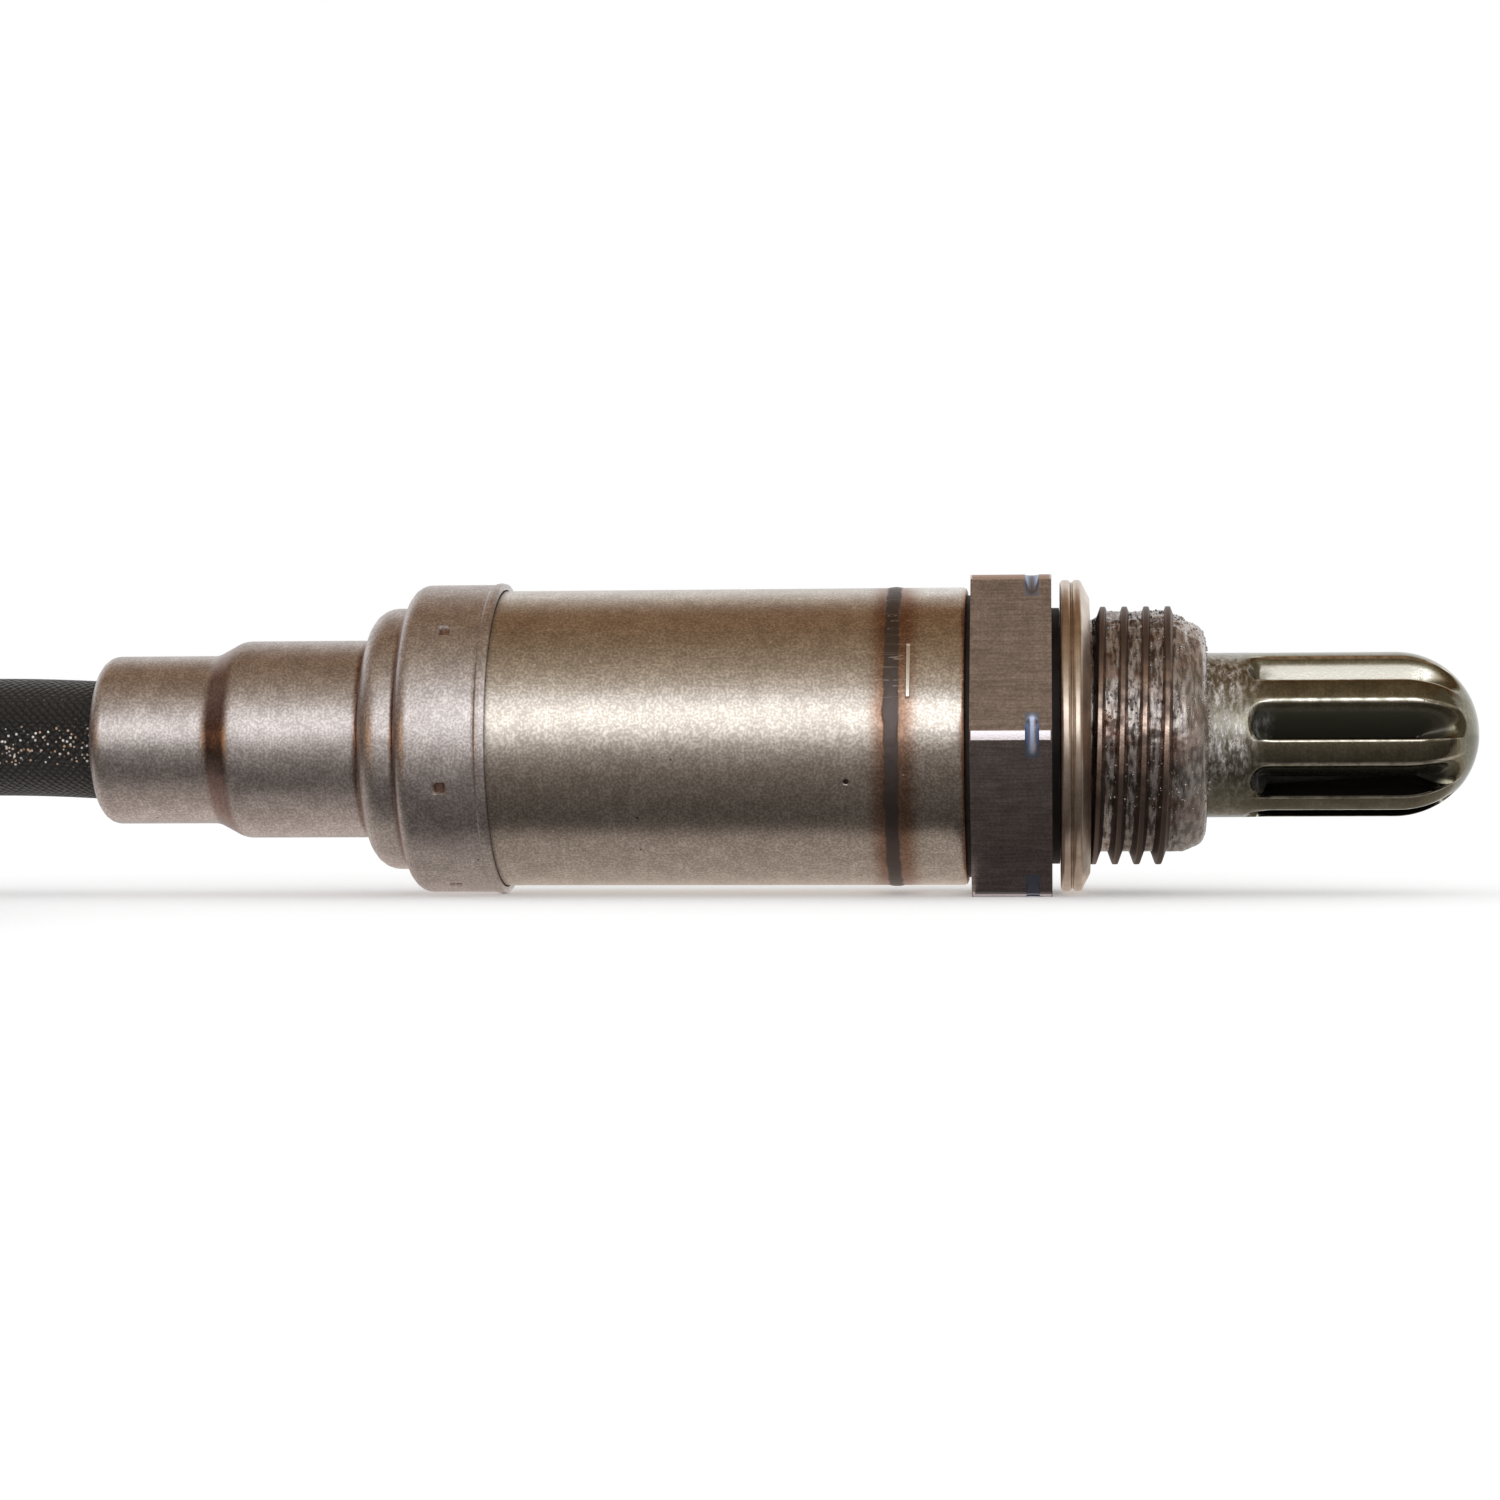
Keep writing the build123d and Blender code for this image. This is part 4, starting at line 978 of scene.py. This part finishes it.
sleeve_outline = (
    rounded_outline(
        [(sleeve_rear, sleeve_mouth), (sleeve_rear, sleeve_radius), (weld_rear, sleeve_radius)],
        [0, 0.0011, 0],
    )
    + [
        (weld_rear + (weld_front - weld_rear) * share / 12, weld_bead(share / 12))
        for share in range(1, 12)
    ]
    + [(weld_front, sleeve_radius), (sleeve_front - front_round, sleeve_radius)]
    + [(sleeve_front - front_bevel, sleeve_radius - front_bevel)]
    + [(sleeve_front, sleeve_radius - front_round), (sleeve_front, sleeve_radius - sleeve_wall)]
    + rounded_outline(
        [
            (sleeve_front, sleeve_radius - sleeve_wall),
            (sleeve_rear + sleeve_wall, sleeve_radius - sleeve_wall),
            (sleeve_rear + sleeve_wall, sleeve_mouth),
        ],
        [0, 0.0006, 0],
    )[1:]
)
sleeve_shell = turned_mesh("sleeve_tube", sleeve_outline, even_angles)
dress(sleeve_shell, sleeve_steel)
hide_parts("outer_sleeve")

# Rear cap. A deep-drawn steel cap in four diameters, pushed over the sleeve and held by six
# square stakes punched behind its rolled lip.
skirt_radius = 0.010875
cap_points = [
    (-0.0480, 0.00445),
    (-0.0480, 0.005975),
    (-0.0397, 0.005975),
    (-0.0378, 0.007),
    (-0.0284, 0.007),
    (-0.0283, 0.00925),
    (-0.0255, 0.00925),
    (-0.0254, skirt_radius),
    (-0.01992, skirt_radius),
    (-0.01980, 0.01082),
    (-0.01964, 0.01094),
    (-0.01935, 0.01099),
    (-0.01905, 0.01092),
]
cap_rounds = [0, 0.0011, 0.0018, 0.0018, 0.0004, 0.0017, 0.0004, 0.0012, 0, 0, 0.0001, 0.0001, 0]
stake_station, stake_half, stake_depth, stake_edge = -0.0222, 0.00024, 0.00036, 0.00022
stake_angles = [43, 103, 163, 227, 289.5, 341.5]


def staked(radius, station):
    """The skirt's radius at an angle, punched in at the six stakes."""

    def reach(angle):
        aside = min(abs((angle - stake + 180) % 360 - 180) for stake in stake_angles)
        across = radians(aside) * radius
        along = abs(station - stake_station)
        inside = min(1.0, max(0.0, (stake_half + stake_edge - max(across, along)) / stake_edge))
        return radius - stake_depth * inside

    return reach


stake_turn = (stake_half / skirt_radius) * 180 / pi
edge_turn = (stake_edge / skirt_radius) * 180 / pi
cap_angles = sorted(
    {round(360 * step / 180, 3) for step in range(180)}
    | {
        round((stake + sign * turn) % 360, 3)
        for stake in stake_angles
        for sign in (-1, 1)
        for turn in (stake_turn, stake_turn + edge_turn)
    }
)
cap_line = rounded_outline(cap_points, cap_rounds)
skirt_index = max(i for i, (station, _) in enumerate(cap_line) if station < stake_station - 0.001)
stake_steps = (-stake_half - stake_edge, -stake_half, -stake_half / 3)
stake_stations = [stake_station + step for step in stake_steps]
stake_stations += [stake_station - step for step in reversed(stake_steps)]
inner_points = [
    (-0.01905, 0.01052),
    (-0.0196, 0.01056),
    (-0.02045, 0.010475),
    (-0.0250, 0.010475),
    (-0.0251, 0.00885),
    (-0.0279, 0.00885),
    (-0.0280, 0.0066),
    (-0.03785, 0.0066),
    (-0.03975, 0.005575),
    (-0.0476, 0.005575),
    (-0.0476, 0.00445),
]
inner_rounds = [0, 0.0002, 0.0004, 0.0008, 0.0008, 0.0012, 0.0008, 0.0014, 0.0022, 0.0010, 0]
cap_outline = (
    cap_line[: skirt_index + 1]
    + [(station, staked(skirt_radius, station)) for station in stake_stations]
    + cap_line[skirt_index + 1 :]
    + rounded_outline(inner_points, inner_rounds)
)
cap_steel, shader, place, pitted, rough, _ = metal(
    "cap_steel", tone(240, 235, 235), tone(208, 202, 202), 0.41, grain_depth=0.000012, speckle=0.5
)
along, across, up = apart(place)
folds = either(
    near(along, -0.0387, 0.0005, 0.0006),
    near(along, -0.02855, 0.00015, 0.0004),
    near(along, -0.0255, 0.0001, 0.0004),
)
browned = blend_colours(folds, pitted, tone(186, 166, 160), "MULTIPLY")
# The stake dents are painted darker inside: painted shade in the recesses.
painted_dent_shade = near(along, stake_station, stake_half + stake_edge, 0.0001)
painted_dent_shade = painted_dent_shade * rescale(axis_distance(across, up), 0.01080, 0.01060)
feed(
    shader,
    {
        "Base Color": blend_colours(painted_dent_shade, browned, tone(206, 180, 164), "MULTIPLY"),
        "Roughness": rough - folds * 0.13,
    },
)
rear_cap = turned_mesh("cap_shell", cap_outline, cap_angles)
dress(rear_cap, cap_steel)
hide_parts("rear_cap")

# Gasket. A crush ring folded from thin soft steel strip: a rear lobe, a crease and a front lobe
# that slopes down to the thread.
gasket_steel, *_ = metal(
    "gasket_steel",
    tone(236, 222, 208),
    tone(196, 180, 165),
    0.3,
    grain_depth=0.000002,
    speckle=0.12,
)
gasket_outline = rounded_outline(
    [
        (0.01995, 0.00918),
        (0.01995, 0.01088),
        (0.02068, 0.01088),
        (0.02074, 0.01036),
        (0.02082, 0.01088),
        (0.02135, 0.01088),
        (0.02199, 0.00962),
        (0.02199, 0.00918),
    ],
    [0.0002, 0.0003, 0.0003, 0.00005, 0.0003, 0.0003, 0.00012, 0.00012],
)
gasket_ring = turned_mesh("gasket_ring", gasket_outline, even_angles)
dress(gasket_ring, gasket_steel)
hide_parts("seat_gasket")

# Protection tube. Drawn from heat-resistant steel with a round end. Eight louvres are sheared
# along their lower edge and pressed inwards about their upper one, closed at both ends.
tube_radius, tube_wall = 0.00573, 0.00022
tube_rear, dome_centre = 0.02465, 0.04307
louvre_rear, louvre_front = 0.0326, 0.0476
louvre_half_turn, louvre_depth = 13.3, 0.0019
louvre_first_angle, louvre_count = 9.6, 8
louvre_corner, rear_slope, front_slope = 0.0008, 0.0011, 0.0024
fine_rear, fine_step, fine_front = 0.0323, 0.00015, 0.03485

# Turns from the louvre's middle, and how far the press goes in there. The metal is sheared between
# the two places at the same turn.
across_tube = [
    *((-22.5, 0), (-20, 0), (-17.5, 0), (-15.5, 0), (-14.3, 0.003), (-13.7, 0.012), (-13.3, 0.03)),
    *((-13.3, 1.0), (-11.5, 0.967), (-9, 0.915), (-6, 0.843), (-3, 0.76), (0, 0.664), (3, 0.553)),
    *((5.5, 0.445), (7.5, 0.349), (9.5, 0.245), (11, 0.16), (12.2, 0.1), (13.3, 0.055)),
    *((14.4, 0.025), (15.5, 0.008), (17, 0), (19.5, 0), (22.5, 0)),
]
sheared_column = 6
tube_rows = [(tube_rear + (fine_rear - tube_rear) * step / 6, tube_radius) for step in range(7)]
tube_rows += [(fine_rear + fine_step * step, tube_radius) for step in range(1, 18)]
tube_rows += [
    (fine_front + (dome_centre - fine_front) * step / 9, tube_radius) for step in range(1, 10)
]
tube_rows += [
    (
        dome_centre + tube_radius * sin(radians(2.5 * step)),
        tube_radius * cos(radians(2.5 * step)),
    )
    for step in range(1, 37)
]


def pressed_share(station, turn):
    """How far the press has gone in at a place: nothing outside the louvre, all in its middle."""
    aside = min(1.0, abs(turn) / louvre_half_turn)
    inset = louvre_corner * (1 - sqrt(1 - aside**2))
    rear = min(1.0, max(0.0, (station - louvre_rear - inset) / rear_slope))
    front = min(1.0, max(0.0, (louvre_front - inset - station) / front_slope))
    return rear * rear * (3 - 2 * rear) * front * front * (3 - 2 * front)


tube_vertices = []
for station, radius in tube_rows:
    for turn, share in across_tube:
        depth = louvre_depth * share * pressed_share(station, turn) * min(1.0, radius / 0.004)
        angle = radians(louvre_first_angle + turn)
        slope = min(1.0, max(0.0, (station - dome_centre) / tube_radius))
        reach = max(0.0, radius - depth * sqrt(1 - slope**2))
        tube_vertices.append((station - depth * slope, -reach * cos(angle), reach * sin(angle)))
louvred_tube = new_piece(
    "louvred_tube", tube_vertices, grid_faces(len(tube_rows), len(across_tube), skip=sheared_column)
)
if louvred_tube.data.polygons[0].normal.dot(Vector((0, -1, 0))) < 0:
    louvred_tube.data.flip_normals()

# The eighth part of the tube, set round its axis and joined
round_set, given, made = new_group(
    "set_round_an_axis",
    {"Count": 8, "Height": 0.011, "Join Distance": 0.000002, "Material": "Material"},
)
points = field(round_set, "GeometryNodeMeshLine", {"Count": given["Count"], "Offset": (0, 0, 0)})
full_turn = {0: 2 * pi, 1: given["Count"]}
step_turn = field(round_set, "ShaderNodeMath", full_turn, operation="DIVIDE")
index_turn = field(round_set, "GeometryNodeInputIndex") * step_turn
placed = field(
    round_set,
    "GeometryNodeInstanceOnPoints",
    {"Points": points, "Instance": given["Geometry"], "Rotation": combine(round_set, index_turn)},
)
real = field(round_set, "GeometryNodeRealizeInstances", {0: placed})
raised = moved(real, combine(round_set, 0.0, 0.0, given["Height"]))
merge = {"Geometry": raised, "Distance": given["Join Distance"]}
joined = field(round_set, "GeometryNodeMergeByDistance", merge)
hand_over(joined, given, made)

# Dark steel, painted darker inside the louvres as painted shade, bright on their rims from wear and
# a painted highlight, with a painted highlight band on a front louvre, smeared with paste behind
tube_steel, shader, place, pitted, rough, height = metal(
    "tube_steel", tone(150, 147, 128), tone(118, 114, 97), 0.13
)
along, across, up = apart(place)
above = up - axis_height
from_dome = combine(place.tree, either(along - dome_centre, 0.0), across, above)
depth = field(place.tree, "ShaderNodeVectorMath", {0: from_dome}, "Value", operation="LENGTH")
# Inside the louvres the steel is painted darker and duller as painted shade, near black in the
# lower ones.
lower_pocket_shade = rescale(depth, 0.0054, 0.0048) * rescale(up, 0.0092, 0.0078)
upper_pocket_shade = rescale(depth, 0.0055, 0.0050) * rescale(up, 0.0148, 0.0132)
pocket_shade_colour = blend_colours(lower_pocket_shade, blend_colours(upper_pocket_shade, pitted, tone(58, 56, 46)), tone(26, 24, 20))
first_turn = radians(louvre_first_angle + 180 / louvre_count)
cell = (above.math("ARCTAN2", across * -1.0) - first_turn) * (louvre_count / (2 * pi))
cell = cell.math("FRACT")
beside_louvres = rescale(along, louvre_rear, louvre_rear + 0.0016) * rescale(
    along, louvre_front, louvre_front - 0.0016
)
rim_noise = noise_at(place, 1400.0, 4.0)
# The sheared edges and bends of the louvres are painted bright: partly wear, partly a painted
# highlight.
rims = (
    either(near(cell, 0.19, 0.008, 0.014), near(cell, 0.825, 0.016, 0.03))
    * rescale(depth, 0.0054, 0.00562)
    * beside_louvres
    * rescale(rim_noise, 0.3, 0.6, 0.3, 0.9)
)
# A painted highlight: a bright band on the pressed flap of an upper louvre, on the side facing the
# camera.
painted_highlight_band = (
    near(up, 0.01525, 0.00035, 0.0004)
    * rescale(depth, 0.0055, 0.0052)
    * beside_louvres
    * rescale(across, -0.001, -0.002)
    * rescale(along + rim_noise * 0.003, 0.0342, 0.0368)
)
rims_and_highlight = blend_colours(either(rims, painted_highlight_band * 0.8), pocket_shade_colour, tone(238, 235, 224))
drips = noise_at(stretched(place, (2600.0, 1500.0, 900.0)), detail=6.0, Roughness=0.7)
pasty = (
    rescale(along - noise_at(place, 420.0) * 0.004, 0.0328, 0.0288)
    * rescale(up, 0.0068, 0.0105, 0.2, 1.0)
    * rescale(up, 0.0168, 0.0142, 0.4, 1.0)
    * rescale(drips, 0.4, 0.66, 0.1, 1.0)
)
feed(
    shader,
    {
        "Base Color": blend_colours(pasty, rims_and_highlight, tone(232, 228, 226)),
        "Metallic": 1.0 - either(upper_pocket_shade * 0.6, pasty * 0.7, lower_pocket_shade),
        "Specular IOR Level": rescale(lower_pocket_shade, 0.0, 1.0, 0.5, 0.02),
        "Roughness": rough + (pasty + lower_pocket_shade) * 0.2,
    },
)
raise_surface(shader, height + pasty * 0.00003)

grow(louvred_tube, round_set, Count=louvre_count, Material=tube_steel)
wall = louvred_tube.modifiers.new("wall", "SOLIDIFY")
wall.thickness = tube_wall
wall.offset = -1.0
settle(louvred_tube)
louvred_tube.data.shade_smooth()
louvred_tube.data.set_sharp_from_angle(angle=radians(50))
dress(louvred_tube, tube_steel)
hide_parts("protection_tube")

# Pieces that the CAD model shows as they are: the parts inside the sensor and the lead's far end.
# Plain metal, fired ceramics, moulded rubbers and plastics, each with its own grain.
def cover_nodes(material, *names):
    """Gives carried-over CAD pieces a material in every slot that they have."""
    for name in names:
        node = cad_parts[name]
        if not node.material_slots:
            node.data.materials.append(material)
        for slot in node.material_slots:
            slot.material = material


cover_nodes(
    metal("plain_metal", tone(200, 190, 180), tone(170, 160, 150), 0.35)[0],
    "seal_ring",
    "disc_spring",
    "signal_contact",
    "ground_contact",
    "heater_terminals",
    "connector_terminals",
)


def moulded(name, colour, shade, roughness):
    """A material without metal: mottled, finely grained and slightly worn."""
    material, shader, place = new_material(name)
    speck = use_group(place.tree, grain, {"Vector": place})
    mottled = blend_colours(rescale(speck["Blotch"], 0.3, 0.7), shade, colour)
    feed(
        shader,
        {
            "Base Color": blend_colours(speck["Pits"] * 0.3, mottled, shade),
            "Roughness": rescale(speck["Grain"], 0.3, 0.7, roughness + 0.08, roughness - 0.06),
        },
    )
    raise_surface(shader, speck["Grain"] * 0.000006)
    return material


for name, colour, shade, roughness, pieces in [
    ("sooted_zirconia", (74, 70, 66), (54, 50, 47), 0.7, ["zirconia_thimble"]),
    ("alumina", (226, 224, 218), (206, 202, 194), 0.5, ["heater_rod"]),
    ("steatite", (236, 230, 218), (220, 212, 198), 0.6, ["ceramic_holder"]),
    ("grommet_rubber", (52, 48, 47), (36, 33, 32), 0.6, ["grommet"]),
    ("black_sheath", (40, 39, 40), (28, 27, 28), 0.45, ["signal_lead", "tail_signal_lead"]),
    ("grey_sheath", (128, 128, 130), (108, 108, 110), 0.45, ["ground_lead", "tail_ground_lead"]),
    ("white_sheath", (226, 225, 220), (204, 202, 196), 0.45, ["heater_leads", "tail_heater_leads"]),
    ("tie_nylon", (44, 43, 44), (32, 31, 32), 0.4, ["cable_tie"]),
    ("shrink_tube", (36, 35, 36), (26, 25, 26), 0.5, ["shrink_band"]),
    ("connector_plastic", (50, 50, 52), (38, 38, 40), 0.5, ["connector_housing"]),
    ("seal_silicone", (186, 88, 56), (160, 70, 44), 0.5, ["wire_seal"]),
    ("lock_plastic", (150, 78, 104), (128, 62, 86), 0.45, ["terminal_lock"]),
]:
    cover_nodes(moulded(name, tone(*colour), tone(*shade), roughness), *pieces)
